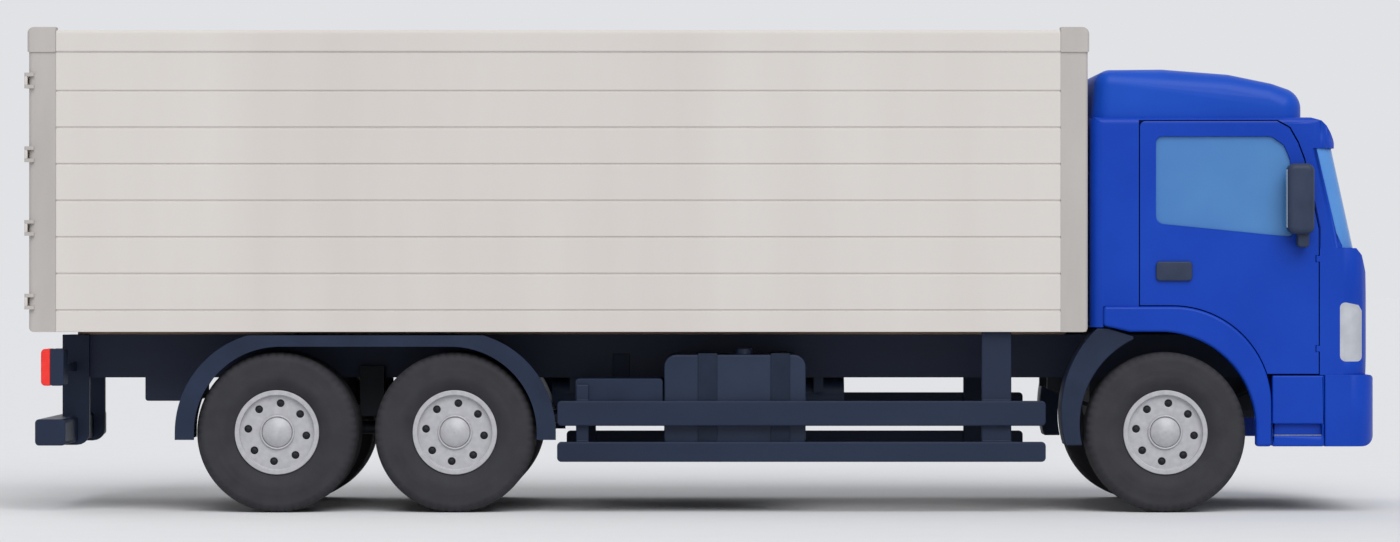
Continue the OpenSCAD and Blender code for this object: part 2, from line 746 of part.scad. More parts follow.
module hinge_ears() for (z = hinge_z) {
    translate([rear_hinge_x, rear_hinge_y, z - strap_h / 2 - ear_h])
        cylinder(h = strap_h + 2 * ear_h, d = hinge_pin_d);
    for (e = [z - strap_h / 2 - ear_h, z + strap_h / 2 + run_gap]) {
        translate([rear_hinge_x, rear_hinge_y, e]) cylinder(h = ear_h - run_gap, d = knuckle_d);
        block([rear_hinge_x, box_rear + post_r + 10], [box_half - post_r, rear_hinge_y + knuckle_d / 2],
              [e, e + ear_h - run_gap]);
    }
}

// A corner between its outer and inner edge, its outer edge and foot or top rounded
module post(p, half, z, foot_r, top_r) intersection() {
    along_y([post_in, half])
        polygon(rounded([[p[0], z[0]], [p[1], z[0]], [p[1], z[1]], [p[0], z[1]]], [foot_r, 0, 0, top_r]));
    along_z(z)
        polygon(rounded([[p[0], post_in], [p[1], post_in], [p[1], half], [p[0], half]], [0, 0, 0, post_r]));
}

module box_posts() color("#bebab7") both_sides() {
    // Corners: [outer edge, inner edge, direction outwards]
    for (c = [[box_rear, box_mid[0], -1], [box_front, box_mid[1], 1]]) {
        post([c[0], c[1]], box_half, [box_base, box_rail_z], post_foot_r, 0);
        post([c[0] + c[2] * cap_proud, c[1]], box_half + cap_proud,
             [box_rail_z, box_top + cap_rise], cap_foot_r, cap_r);
    }
    hinge_ears();
}

// Barn doors: a leaf, its hinge straps with knuckles, and two lock rods in keepers
rod_places = [260, 820];
rod_out = 20;
keeper_half = 25;
knee = [110, 60];
lock_z = above(box_base + 483, 40);
lock_l = 260;

module rear_door() color("#d4cfcc") {
    block([leaf_x, leaf_x + leaf_t], [leaf_gap, post_in - leaf_gap], leaf_z);
    difference() {
        for (z = hinge_z) {
            block([rear_hinge_x, rear_hinge_x + strap_t], [post_in - knee[0], rear_hinge_y],
                  around(z, strap_h / 2));
            block([rear_hinge_x, leaf_x], [post_in - knee[0], post_in - knee[1]], around(z, strap_h / 2));
            translate([rear_hinge_x, rear_hinge_y, z - strap_h / 2]) cylinder(h = strap_h, d = knuckle_d);
        }
        translate([rear_hinge_x, rear_hinge_y, leaf_z[0]])
            cylinder(h = leaf_z[1] - leaf_z[0], d = hinge_pin_d + 2 * run_gap);
    }
    for (y = rod_places) {
        translate([leaf_x - rod_out, y, leaf_z[0] + 10])
            cylinder(h = leaf_z[1] - leaf_z[0] - 20, d = lock_rod_d);
        for (z = hinge_z) block([leaf_x - rod_out, leaf_x], around(y, keeper_half), around(z, 30));
        block([leaf_x - rod_out - 12, leaf_x - rod_out + 6], [y - lock_l, y], lock_z);
    }
}

module rear_door_left() rear_door();
module rear_door_right() on_right() rear_door();

// Cab

wall_y = cab_half - cab_wall;
liner_y = wall_y - 7;
roof_t = 70;
roof_lip = 20;
roof_base = roof_z - roof_t;
cowl_t = 65;
arm_y = [rail_in - 50, rail_in - 10];
arm_half = 40;
foot_x = [cab_rear + 113, cab_rear + 213];
foot_gap = 0.3;

// The lower cab as an upright prism, set in from the outer skin
module body_prism(inset, z) along_z(z)
    plan_shape([cab_rear + inset, cab_front_x - inset], cab_half - inset,
               cab_corner_r - inset, max(cab_rear_r - inset, 15));

// The windscreen's prism, leaning back from the cowl, set in from the outer skin
module screen_prism(inset) translate([screen_x, 0, cowl_z]) rotate([0, -screen_tilt, 0])
    along_z([-0.5 * screen_h, 1.5 * screen_h])
        plan_shape([-cab_l, -inset], cab_half - inset, screen_corner_r - inset, 15);

// Rear view of the cab, with the roof's long edges rounded
module shell_view() polygon(rounded([[-cab_half, 0], [cab_half, 0], [cab_half, roof_z], [-cab_half, roof_z]],
                                    [0, 0, roof_edge_r, roof_edge_r], 8));

// The roof with its brow as an upright prism, set in from the outer skin
module roof_prism(inset, z) along_z(z)
    plan_shape([cab_rear + inset, brow_x - inset], cab_half - inset,
               screen_corner_r - inset, max(cab_rear_r - inset, 15));

// Side view of the front panel: [set-back from the foremost face, height]
nose = [[10, seam_z], [0, seam_z + 184], [0, cowl_z - 435], [9, cowl_z - 172], [42, cowl_z - 50]];
module nose_view() polygon(concat([[cab_rear, seam_z]], [for (p = nose) [cab_front_x - p[0], p[1]]],
                                  [[screen_x, cowl_z], [cab_rear, cowl_z]]));

// Side view of the brow: [set-back from its foremost face, drop from the roof's top]
brow = [[0, brow_h - 28], [14, 150], [37, 104], [66, 58], [104, 23], [179, 0]];
brow_l = 460;
module brow_view() polygon(concat([[cab_rear, brow_z], [brow_x, brow_z]],
                                  [for (p = brow) [brow_x - p[0], roof_z - p[1]]], [[cab_rear, roof_z]]));

// Upper front edge of a door: [set-back from the front edge, drop from the top]
door_curve = [[0, 757], [22, 652], [103, 270], [147, 152], [206, 49], [294, 0]];
module door_view(grow) polygon(concat(
    [[door_rear - grow, door_foot - grow], [door_front + grow, door_foot - grow]],
    [for (p = door_curve) [door_front + grow - p[0], door_top + grow - p[1]]],
    rounded([[arch_x, door_top + grow], [door_rear - grow, door_top + grow], [door_rear - grow, arch_top]],
            [0, 40, 0])));

// Outer edge of the arch trim, grown
module arch_view(grow) {
    translate([arch_x, arch_z]) circle(arch_r + grow, $fn = 96);
    translate([arch_rear - 200, 0]) square([arch_x - arch_rear + 200, arch_top + grow]);
    translate([arch_x, 0]) square([arch_r + grow, arch_z]);
}

// Side view of the windscreen: it meets the pillar along a leaning edge
screen_edge = [[screen_x - 101, cowl_z], [screen_x - 101, cowl_z + 17], [screen_x - 143, cowl_z + 105],
               [screen_x - 283, brow_z]];
module screen_view() polygon(concat([[bumper_front, brow_z], [bumper_front, cowl_z]], screen_edge));
module pillar_view()
    polygon(concat([[door_front + shut_gap, cowl_z]], screen_edge, [[door_front - 185, brow_z]]));

module cab_floor() color("#2b3040") difference() {
    union() {
        along_z(above(cab_floor_z, cab_floor_t))
            plan_shape([cab_rear + cab_wall, cab_front_x - cab_wall], liner_y, cab_corner_r - cab_wall, 15);
        both_sides() {
            along_y(arm_y) {
                translate([pivot_x - arm_half, pivot_z]) square([2 * arm_half, cab_floor_z - pivot_z]);
                translate([pivot_x, pivot_z]) circle(pivot_eye_r);
            }
            block(foot_x, [rail_in, rail_out], [rail_top + foot_gap, cab_floor_z]);
        }
    }
    translate([pivot_x, pivot_half, pivot_z]) rotate([90, 0, 0])
        cylinder(h = 2 * pivot_half, r = pivot_d / 2 + run_gap);
}

quarter_x = door_rear - shut_gap;

module cab_back() color("#1646b4") difference() {
    intersection() {
        body_prism(0, [cab_floor_z, roof_z - roof_lip]);
        along_x([cab_rear, cab_front_x]) shell_view();
    }
    body_prism(cab_wall, [cab_floor_z - 1, roof_z]);
    block([quarter_x, cab_front_x + 1], [-1, 1] * cab_w, [0, roof_z]);
    block([arch_rear, quarter_x + 1], [-1, 1] * cab_w, [0, arch_top]);
}

// Front panel with the cowl under the windscreen, lamp apertures, grille recess and hinge ears
lamp_view = rounded([[cab_front_x - 204, cowl_z - 795], [cab_front_x - 43, cowl_z - 795],
                     [cab_front_x - 43, cowl_z - 440], [cab_front_x - 68, cowl_z - 400],
                     [cab_front_x - 160, cowl_z - 382], [cab_front_x - 204, cowl_z - 382]],
                    [40, 35, 20, 20, 10, 35]);
lamp_in = 50;
lamp_inner_y = cab_half - cab_corner_r - 20;
front_lamp_y = [cab_half - 530, cab_half - 220];
front_lamp_z = [cowl_z - 760, cowl_z - 520];
front_lamp_r = 50;
grille_half = cab_half - 600;
grille_z = [seam_z + 74, cowl_z - 295];
grille_depth = 34;
door_hinge_z = [door_foot + 176, cowl_z - 75];
door_ear_half = 20;
door_ear_r = 8;
door_pin_d = 12;
door_pin_half = 45;

// Apertures of the lamps at the corners and of those in the front panel
module lamp_zone() both_sides() {
    along_y([lamp_inner_y, cab_half + 1]) polygon(lamp_view);
    along_x([cab_front_x - cab_wall - 1, cab_front_x + 1])
        round_rect(front_lamp_y, front_lamp_z, front_lamp_r);
}

module cab_front() color("#1646b4") {
    difference() {
        intersection() {
            body_prism(0, [seam_z, cowl_z]);
            along_y([-cab_half, cab_half]) nose_view();
        }
        body_prism(cab_wall, [seam_z - 1, cowl_z - cowl_t]);
        block([cab_rear - 1, door_front + shut_gap], [-1, 1] * cab_w, [0, cowl_z + 1]);
        lamp_zone();
        block([cab_front_x - grille_depth, cab_front_x + 1], [-1, 1] * grille_half, grille_z);
    }
    both_sides() for (z = door_hinge_z) {
        translate([door_axis_x, door_axis_y, z - door_pin_half])
            cylinder(h = 2 * door_pin_half, d = door_pin_d);
        translate([door_axis_x, door_axis_y, z - door_ear_half])
            cylinder(h = 2 * door_ear_half, r = door_ear_r);
        block([door_axis_x, door_front + shut_gap + 1], around(door_axis_y, door_ear_r),
              around(z, door_ear_half));
    }
}

// Roof with the brow over the windscreen and the two front pillars
relief = [14, 6, 330];

module cab_roof() color("#1646b4") difference() {
    union() {
        intersection() {
            union() {
                roof_prism(0, [roof_z - roof_lip, roof_z]);
                roof_prism(cab_wall + 7, [roof_base, roof_z]);
                difference() {
                    roof_prism(0, [brow_z, roof_z]);
                    roof_prism(cab_wall, [brow_z - 1, roof_z]);
                    block([cab_rear - 1, brow_x - brow_l], [-1, 1] * cab_w, [0, roof_z]);
                }
            }
            along_y([-cab_half, cab_half]) brow_view();
            along_x([cab_rear, brow_x]) shell_view();
        }
        intersection() {
            difference() {
                screen_prism(0);
                screen_prism(cab_wall);
            }
            along_y([-cab_half, cab_half]) pillar_view();
        }
    }
    both_sides() {
        along_y([liner_y, cab_half + 1]) door_view(shut_gap);
        // Relief for the door's outer edge, which swings forward where it leaves the upright
        along_y([cab_half - relief[0], cab_half + 1]) intersection() {
            translate([relief[1], 0]) door_view(shut_gap);
            translate([cab_rear, cowl_z]) square([cab_l, relief[2]]);
        }
    }
}

module windshield() color("#6297cc") intersection() {
    difference() {
        screen_prism(glass_in);
        screen_prism(glass_in + glass_t);
    }
    along_y([-cab_half, cab_half]) screen_view();
}

// Roof fairing: crossbars from rear to front, [behind the bar to the cab's rear, height of the bar, radius]
fairing_bars = [[150, 226, 112], [513, 191, 152], [963, 158, 150], [1253, 108, 140], [1348, 65, 150]];
fairing_half = cab_half - 90;
fairing_rake = 20;

module roof_fairing() color("#1e50bf") intersection() {
    hull() for (i = [0:len(fairing_bars) - 1], s = [-1, 1]) {
        b = fairing_bars[i];
        translate([cab_rear + b[0], s * (fairing_half - b[2]), roof_z + b[1]]) sphere(b[2], $fn = 40);
        translate([cab_rear + b[0] - (i == 0 ? fairing_rake : 0), s * (fairing_half - b[2]), roof_z])
            cylinder(h = 1, r = b[2], $fn = 40);
    }
    block([cab_rear, cab_front_x], [-1, 1] * cab_half, above(roof_z, 500));
}

trim_nip = [191, 42];

module arch_trims() color("#1646b4") both_sides() along_y([liner_y, cab_half + arch_proud]) difference() {
    intersection() {
        arch_view(0);
        translate([arch_rear, skirt_z]) square([arch_x - arch_rear + arch_r, arch_top - skirt_z]);
    }
    translate([arch_in_x, arch_in_z]) circle(arch_in_r, $fn = 96);
    translate([arch_rear - 1, 0]) square([arch_in_x + arch_in_r - arch_rear + 1, arch_in_z]);
    translate([arch_rear - 1, 0]) square([arch_in_x - arch_rear + 1, arch_foot]);
    polygon([[arch_rear - 1, arch_foot - 1], [arch_rear + trim_nip[0], arch_foot - 1],
             [arch_rear - 1, arch_foot + trim_nip[1]]]);
}

bumper_half = cab_half + 10;

module front_bumper() color("#1646b4") difference() {
    intersection() {
        along_z([skirt_z, seam_z]) plan_shape([bumper_rear, bumper_front], bumper_half, cab_corner_r, 15);
        along_y([-bumper_half, bumper_half])
            polygon(rounded([[bumper_rear, skirt_z], [bumper_front, skirt_z], [bumper_front, seam_z],
                             [bumper_rear, seam_z]], [0, 90, 40, 0]));
    }
    along_z([skirt_z - 1, seam_z + 1])
        plan_shape([bumper_rear - 400, bumper_front - cab_wall], bumper_half - cab_wall,
                   cab_corner_r - cab_wall, 15);
}

step_x = [arch_x + arch_r + 7, bumper_rear - 4];
step_in = bumper_half - 330;
step_edge = 14;
step_tread = [skirt_z + 74, skirt_z + 158];
step_deep = step_in + 100;
riser_y = [cab_half - 220, cab_half - 180];

module entry_steps() color("#1646b4") both_sides() {
    difference() {
        block(step_x, [step_in, bumper_half], [skirt_z, door_foot - 12]);
        block([step_x[0] + step_edge, step_x[1] - step_edge], [step_deep, bumper_half + 1], step_tread);
    }
    block([step_x[0] + 40, step_x[1] - 40], riser_y, [door_foot - 14, cab_floor_z]);
}

module headlights() color("#b3b6be") intersection() {
    difference() {
        body_prism(0, [seam_z, cowl_z]);
        body_prism(lamp_in, [seam_z - 1, cowl_z + 1]);
    }
    along_y([-cab_half, cab_half]) nose_view();
    lamp_zone();
}

slat_n = 6;
slat_h = 52;

module grille() color("#232733") {
    x = [cab_front_x - grille_depth, cab_front_x - 4];
    pitch = (grille_z[1] - grille_z[0] - slat_h) / (slat_n - 1);
    for (i = [0:slat_n - 1])
        along_y([-1, 1] * (grille_half - 1)) polygon(rounded([
            [x[0], grille_z[0] + i * pitch], [x[1], grille_z[0] + i * pitch],
            [x[1] - 8, grille_z[0] + i * pitch + slat_h], [x[0], grille_z[0] + i * pitch + slat_h]],
            [0, 8, 8, 0]));
    for (y = [-grille_half, -20, grille_half - 40])
        block([x[0], x[1] - 14], [y, y + 40], grille_z);
}

// Seats with their pedestals, and the dashboard with the steering wheel on the left
seat_y = [cab_half - 890, cab_half - 390];
seat_x = cab_rear + 713;
// Side view of a seat on its pedestal: [along from the pedestal's rear, height over the floor, radius]
seat_side = [[0, 0, 0], [350, 0, 0], [350, 190, 0], [480, 200, 40], [480, 330, 50], [30, 330, 40],
             [-60, 970, 50], [-200, 970, 40], [-90, 200, 60], [0, 190, 0]];
headrest_side = [[-182, 970, 0], [-72, 970, 0], [-88, 1160, 40], [-198, 1160, 40]];
headrest_in = 130;

module seat_view(side)
    polygon(rounded([for (p = side) [seat_x + p[0], floor_top + p[1]]], [for (p = side) p[2]]));

module seats() color("#3a3f4c") both_sides() {
    along_y(seat_y) seat_view(seat_side);
    along_y(seat_y + [headrest_in, -headrest_in]) seat_view(headrest_side);
}

dash_half = cab_half - 330;
wheel_at = [cab_front_x - 618, (seat_y[0] + seat_y[1]) / 2, cowl_z - 125];
column_at = wheel_at + [230, 0, -110];
steering_r = 215;

module dashboard() color("#2f3542") {
    dash_x = cab_front_x - cab_wall;
    dash_top = cowl_z - cowl_t;
    along_y([-dash_half, dash_half]) polygon(rounded([
        [dash_x, dash_top - 310], [dash_x, dash_top], [dash_x - 290, dash_top],
        [dash_x - 370, dash_top - 90],
        [dash_x - 330, dash_top - 310]], [0, 0, 40, 60, 30]));
    bar(column_at, wheel_at, 32);
    lean = atan2(column_at[0] - wheel_at[0], column_at[2] - wheel_at[2]);
    translate(wheel_at) rotate([0, lean, 0]) {
        rotate_extrude() translate([steering_r, 0]) circle(16, $fn = 24);
        for (a = [0, 120, 240]) rotate([0, 0, a]) translate([0, -18, -8]) cube([steering_r, 36, 16]);
        cylinder(h = 40, r = 60, center = true);
    }
}

// Cab doors with their glass, mirrors and handles
window_view = rounded([[door_rear + 111, cowl_z + 171], [door_front - 177, cowl_z + 75],
                       [door_front - 198, door_top - 270], [door_front - 242, door_top - 167],
                       [door_front - 331, door_top - 107], [door_rear + 111, door_top - 107]],
                      [60, 30, 90, 60, 60, 45]);

module door() color("#1646b4") difference() {
    intersection() {
        along_y([wall_y, cab_half]) difference() {
            door_view(0);
            arch_view(shut_gap);
            polygon(window_view);
        }
        along_x([cab_rear, cab_front_x]) shell_view();
    }
    for (z = door_hinge_z) {
        block([door_axis_x - door_ear_r - 5, door_front + 1], [door_axis_y - door_ear_r - 6, cab_half + 1],
              around(z, door_ear_half + 5));
        translate([door_axis_x, door_axis_y, z - door_pin_half - 2])
            cylinder(h = 2 * door_pin_half + 4, d = door_pin_d + 2 * run_gap);
    }
}

module door_glass() color("#5688c7")
    along_y(above(cab_half - glass_in - 2 * glass_t, glass_t)) polygon(window_view);

mirror_x = [door_front - 240, door_front - 48];
mirror_z = [cowl_z + 97, cowl_z + 591];
mirror_arm_x = [door_front - 162, door_front - 80];
mirror_arm_h = 93;
mirror_off = 45;
handle_x = [door_rear + 111, door_rear + 366];
handle_z = [cowl_z - 231, cowl_z - 94];
handle_out = 24;

module door_fittings() color("#3b4358") {
    along_y([cab_half + mirror_off, cab_half + mirror_reach]) round_rect(mirror_x, mirror_z, 60);
    block(mirror_arm_x, above(cab_half, mirror_reach - 60), [mirror_z[0] - mirror_arm_h, mirror_z[0]]);
    along_y(above(cab_half, handle_out)) round_rect(handle_x, handle_z, 30);
}

module door_left() door();
module door_right() on_right() door();
module door_glass_left() door_glass();
module door_glass_right() on_right() door_glass();
module door_fittings_left() door_fittings();
module door_fittings_right() on_right() door_fittings();

// Wheels, drawn about their own axis with the outer face upwards

rim_half = rim_w / 2;
disc_top = rim_half - disc_recess;
seat_gap = 0.3;
rim_in_r = bead_d / 2 - 19;
rim_lip_t = 14;
hub_depth = 57;

// Half section of a rim and its disc
module rim_section() {
    translate([rim_in_r, -rim_half]) square([bead_d / 2 - seat_gap - rim_in_r, rim_w]);
    for (z = [-rim_half, rim_half - rim_lip_t]) translate([rim_in_r, z])
        square([flange_d / 2 - rim_in_r, rim_lip_t]);
    translate([dome_d / 2 - 20, disc_top - disc_t]) square([rim_in_r - dome_d / 2 + 21, disc_t]);
}

// Half section of the hub and its domed cover, from the depth given up to the dome's top
module hub_section(depth) {
    r = dome_d / 2;
    dome_r = (r * r + dome_h * dome_h) / (2 * dome_h);
    translate([0, disc_top + 10 - depth]) square([r, depth]);
    intersection() {
        translate([0, disc_top + 10 + dome_h - dome_r]) circle(dome_r, $fn = 96);
        translate([0, disc_top + 9]) square([r, dome_h + 2]);
    }
}

module wheel_disc_holes() for (i = [0:nut_count - 1])
    rotate([0, 0, 360 / nut_count * i + 6.5]) translate([nut_pcd / 2, 0, disc_top - disc_t - 1])
        cylinder(h = disc_t + 2, d = nut_hole_d);

module wheel(depth) color("#cbcbcf") difference() {
    rotate_extrude($fn = 96) {
        rim_section();
        hub_section(depth);
    }
    wheel_disc_holes();
    translate([0, 0, disc_top + 9 - depth]) cylinder(h = depth - 1, r = spindle_d / 2 + run_gap);
}

module inner_rim() color("#cbcbcf") translate([0, 0, -twin_pitch]) difference() {
    rotate_extrude($fn = 96) rim_section();
    wheel_disc_holes();
    translate([0, 0, -rim_half]) cylinder(h = rim_w, r = dome_d / 2 - 1);
}

// Half section of a tyre: tread, round shoulders and bulged walls round a hollow
tread_half = tyre_w / 2 - shoulder_r;
wall_r = tyre_d / 2 - shoulder_r;
bead_half = rim_half - rim_lip_t - 1;
carcass = 30;

// From the bead out past the rim's flange to the shoulder: [radius, half width]
bead_wall = [[bead_d / 2, bead_half], [flange_d / 2 + 2, bead_half], [flange_d / 2 + 45, tyre_w / 2 - 8],
             [wall_r - 70, tyre_w / 2], [wall_r, tyre_w / 2]];

module tyre_section() difference() {
    union() {
        translate([wall_r, -tread_half]) square([shoulder_r, 2 * tread_half]);
        for (s = [-1, 1]) translate([wall_r, s * tread_half]) circle(shoulder_r);
        polygon([for (s = [-1, 1], p = s < 0
            ? bead_wall : [for (i = [len(bead_wall) - 1:-1:0]) bead_wall[i]]) [p[0], s * p[1]]]);
    }
    round_rect([bead_d / 2 + carcass, tyre_d / 2 - carcass], [-1, 1] * (tyre_w / 2 - carcass), 55);
    translate([bead_d / 2 - 1, carcass - bead_half]) square([60, 2 * (bead_half - carcass)]);
}

module tyre() color("#3d3c41") rotate_extrude($fn = 96) tyre_section();
module twin_tyres() {
    tyre();
    translate([0, 0, -twin_pitch]) tyre();
}
module twin_wheel() color("#cbcbcf") {
    wheel(twin_pitch + rim_half + 10);
    inner_rim();
}

module at_left(x) translate([x, wheel_y, axle_z]) rotate([-90, 0, 0]) children();
module at_right(x) on_right() at_left(x) children();

module wheel_front_left() at_left(front_axle_x) wheel(hub_depth);
module wheel_front_right() at_right(front_axle_x) wheel(hub_depth);
module tyre_front_left() at_left(front_axle_x) tyre();
module tyre_front_right() at_right(front_axle_x) tyre();
module wheels_drive_left() at_left(drive_axle_x) twin_wheel();
module wheels_drive_right() at_right(drive_axle_x) twin_wheel();
module tyres_drive_left() at_left(drive_axle_x) twin_tyres();
module tyres_drive_right() at_right(drive_axle_x) twin_tyres();
module wheels_tag_left() at_left(tag_axle_x) twin_wheel();
module wheels_tag_right() at_right(tag_axle_x) twin_wheel();
module tyres_tag_left() at_left(tag_axle_x) twin_tyres();
module tyres_tag_right() at_right(tag_axle_x) twin_tyres();

chassis_frame();
engine_block();
front_axle();
front_springs();
rear_axles();
rear_suspension();
propshafts();
fuel_tanks();
tank_straps();
stowage_boxes();
air_tanks();
side_guards();
rear_mudguards();
front_mudguards();
underrun_guard();
tail_lamps();
box_floor();
box_walls();
box_roof();
box_posts();
rear_door_left();
rear_door_right();
cab_floor();
cab_back();
cab_front();
cab_roof();
windshield();
roof_fairing();
arch_trims();
front_bumper();
entry_steps();
headlights();
grille();
seats();
dashboard();
door_left();
door_right();
door_glass_left();
door_glass_right();
door_fittings_left();
door_fittings_right();
knuckle_left();
knuckle_right();
wheel_front_left();
wheel_front_right();
tyre_front_left();
tyre_front_right();
wheels_drive_left();
wheels_drive_right();
tyres_drive_left();
tyres_drive_right();
wheels_tag_left();
wheels_tag_right();
tyres_tag_left();
tyres_tag_right();
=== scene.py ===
"""Looks of a three-axle box truck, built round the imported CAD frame. Metres, +X forward, +Y left, +Z up."""

import math

import bmesh
import bpy
import numpy as np
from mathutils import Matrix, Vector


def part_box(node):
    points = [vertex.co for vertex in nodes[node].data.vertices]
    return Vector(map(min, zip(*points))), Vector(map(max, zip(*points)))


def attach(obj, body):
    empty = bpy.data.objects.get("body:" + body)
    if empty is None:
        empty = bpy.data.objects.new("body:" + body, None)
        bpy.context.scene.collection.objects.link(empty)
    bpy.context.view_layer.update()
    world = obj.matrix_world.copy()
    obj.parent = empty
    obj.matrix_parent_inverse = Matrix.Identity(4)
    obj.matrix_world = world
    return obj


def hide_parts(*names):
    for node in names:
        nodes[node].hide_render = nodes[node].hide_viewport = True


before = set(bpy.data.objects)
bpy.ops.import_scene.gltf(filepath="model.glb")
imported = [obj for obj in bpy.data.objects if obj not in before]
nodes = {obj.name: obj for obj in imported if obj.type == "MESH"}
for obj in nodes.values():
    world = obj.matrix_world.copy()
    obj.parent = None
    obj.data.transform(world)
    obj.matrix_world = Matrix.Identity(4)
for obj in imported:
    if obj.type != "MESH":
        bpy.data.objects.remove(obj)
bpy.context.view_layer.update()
scene = bpy.context.scene
scene.view_settings.view_transform = "Standard"


# Studio: a pale paper floor that runs out of sight, a very broad soft lamp high on the viewer's side, a
# weaker one on the far side, and a surround that looks as pale as the floor where the two meet.
FLOOR_HALF = 400.0


def linear(hex_colour):
    """An sRGB hex colour as linear red, green, blue and alpha."""
    parts = [int(hex_colour[i:i + 2], 16) / 255 for i in (1, 3, 5)]
    return tuple(c / 12.92 if c <= 0.04045 else ((c + 0.055) / 1.055) ** 2.4 for c in parts) + (1.0,)


def node(tree, kind, settings=None, links=None):
    """Adds one shader node, sets its properties and sockets by name, and links its inputs."""
    made = tree.nodes.new(kind)
    for name, value in (settings or {}).items():
        if name in made.inputs.keys():
            made.inputs[name].default_value = value
        else:
            setattr(made, name, value)
    for name, source in (links or {}).items():
        tree.links.new(source, made.inputs[name])
    return made


def new_material(name):
    """A material with an empty node tree, and that tree."""
    made = bpy.data.materials.new(name)
    made.use_nodes = True
    made.node_tree.nodes.clear()
    return made, made.node_tree


def grid_faces(rows, cols, close_u=False, close_v=False):
    """The quads of a grid of rows by cols points. close_u joins the last row to the first, close_v the
    last column to the first."""
    u = np.arange(rows if close_u else rows - 1)
    v = np.arange(cols if close_v else cols - 1)
    a, b = np.meshgrid(u, v, indexing="ij")
    a2, b2 = (a + 1) % rows, (b + 1) % cols
    return np.stack([a * cols + b, a2 * cols + b, a2 * cols + b2, a * cols + b2], -1).reshape(-1, 4)


def mesh_piece(name, points, faces, material):
    """A smooth mesh object at the origin, from an array of points and an array of quads."""
    mesh = bpy.data.meshes.new(name)
    mesh.from_pydata(points.tolist(), [], faces.tolist())
    mesh.polygons.foreach_set("use_smooth", np.full(len(mesh.polygons), True))
    mesh.materials.append(material)
    mesh.update()
    made = bpy.data.objects.new(name, mesh)
    scene.collection.objects.link(made)
    return made


def studio_paper():
    """Seamless paper: flat and pale, with a faint fibre mottle in blots a third of a metre across."""
    made, tree = new_material("studio_paper")
    place = node(tree, "ShaderNodeTexCoord")
    fibre = node(tree, "ShaderNodeTexNoise", {"Scale": 3.0, "Detail": 4.0},
                 {"Vector": place.outputs["Object"]})
    tone = node(tree, "ShaderNodeValToRGB", None, {"Fac": fibre.outputs["Fac"]})
    tone.color_ramp.elements[0].color = linear("#e2e3e5")
    tone.color_ramp.elements[1].color = linear("#e6e7e9")
    skin = node(tree, "ShaderNodeBsdfDiffuse", None, {"Color": tone.outputs["Color"]})
    node(tree, "ShaderNodeOutputMaterial", None, {"Surface": skin.outputs["BSDF"]})
    return made


edges = np.array([-FLOOR_HALF, FLOOR_HALF])
floor = np.stack(np.broadcast_arrays(edges[:, None], edges[None, :], 0.0), -1)
paper = mesh_piece("studio_floor", floor.reshape(-1, 3), grid_faces(2, 2), studio_paper())


def surround():
    """An even pale light from all round, which eye, gloss and glass see in the colour of the lit floor."""
    made = bpy.data.worlds.new("surround")
    made.use_nodes = True
    tree = made.node_tree
    tree.nodes.clear()
    ray = node(tree, "ShaderNodeLightPath")
    seen = node(tree, "ShaderNodeMath", {"operation": "MAXIMUM"},
                {0: ray.outputs["Is Camera Ray"], 1: ray.outputs["Is Glossy Ray"]})
    seen = node(tree, "ShaderNodeMath", {"operation": "MAXIMUM"},
                {0: seen.outputs[0], 1: ray.outputs["Is Transmission Ray"]})
    light = node(tree, "ShaderNodeBackground", {"Color": linear("#f4f5f8"), "Strength": 0.44})
    look = node(tree, "ShaderNodeBackground", {"Color": linear("#e1e2e5"), "Strength": 1.0})
    mixed = node(tree, "ShaderNodeMixShader", None,
                 {0: seen.outputs[0], 1: light.outputs[0], 2: look.outputs[0]})
    node(tree, "ShaderNodeOutputWorld", None, {"Surface": mixed.outputs[0]})
    return made


def broad_lamp(name, height, bearing, strength, spread):
    """A lamp too far off to fall away: its height over the horizon and its bearing from ahead to the left in
    degrees, its light in watts on a square metre, and how many degrees of the sky it fills."""
    lamp = bpy.data.lights.new(name, "SUN")
    lamp.energy = strength
    lamp.angle = math.radians(spread)
    made = bpy.data.objects.new(name, lamp)
    scene.collection.objects.link(made)
    made.rotation_euler = (math.radians(90 - height), 0, math.radians(bearing + 90))


scene.world = surround()
broad_lamp("near_lamp", height=45, bearing=-78, strength=2.1, spread=50)
broad_lamp("far_lamp", height=40, bearing=120, strength=0.5, spread=60)


# Camera: a long lens, level with the middle of the picture, 34 m from the truck's near side,
# so that 9.8 m of that side fill the picture's width.
NEAR_SIDE_Y = -1.25
CAMERA_DISTANCE = 34.0
CAMERA_HEIGHT = 1.694
CAMERA_SIGHT = 300.0
PICTURE_WIDTH = 9.8
SENSOR_WIDTH = 36.0
lens = bpy.data.cameras.new("camera")
lens.sensor_width = SENSOR_WIDTH
lens.lens = SENSOR_WIDTH * CAMERA_DISTANCE / PICTURE_WIDTH
lens.clip_end = CAMERA_SIGHT
camera = bpy.data.objects.new("camera", lens)
camera.location = (0.0, NEAR_SIDE_Y - CAMERA_DISTANCE, CAMERA_HEIGHT)
camera.rotation_euler = (math.pi / 2, 0, 0)
scene.collection.objects.link(camera)
scene.camera = camera


# Ladder frame: two pressed steel channels with crossmembers riveted between them, and the tube at the
# front that the cab tilts on. It is dipped in dark enamel, which is satin and a little uneven.
WELD_REACH = 0.0002
FLAT_WITHIN = math.radians(0.6)
EDGE_TURN = math.radians(32)
EDGE_RINGS = 3


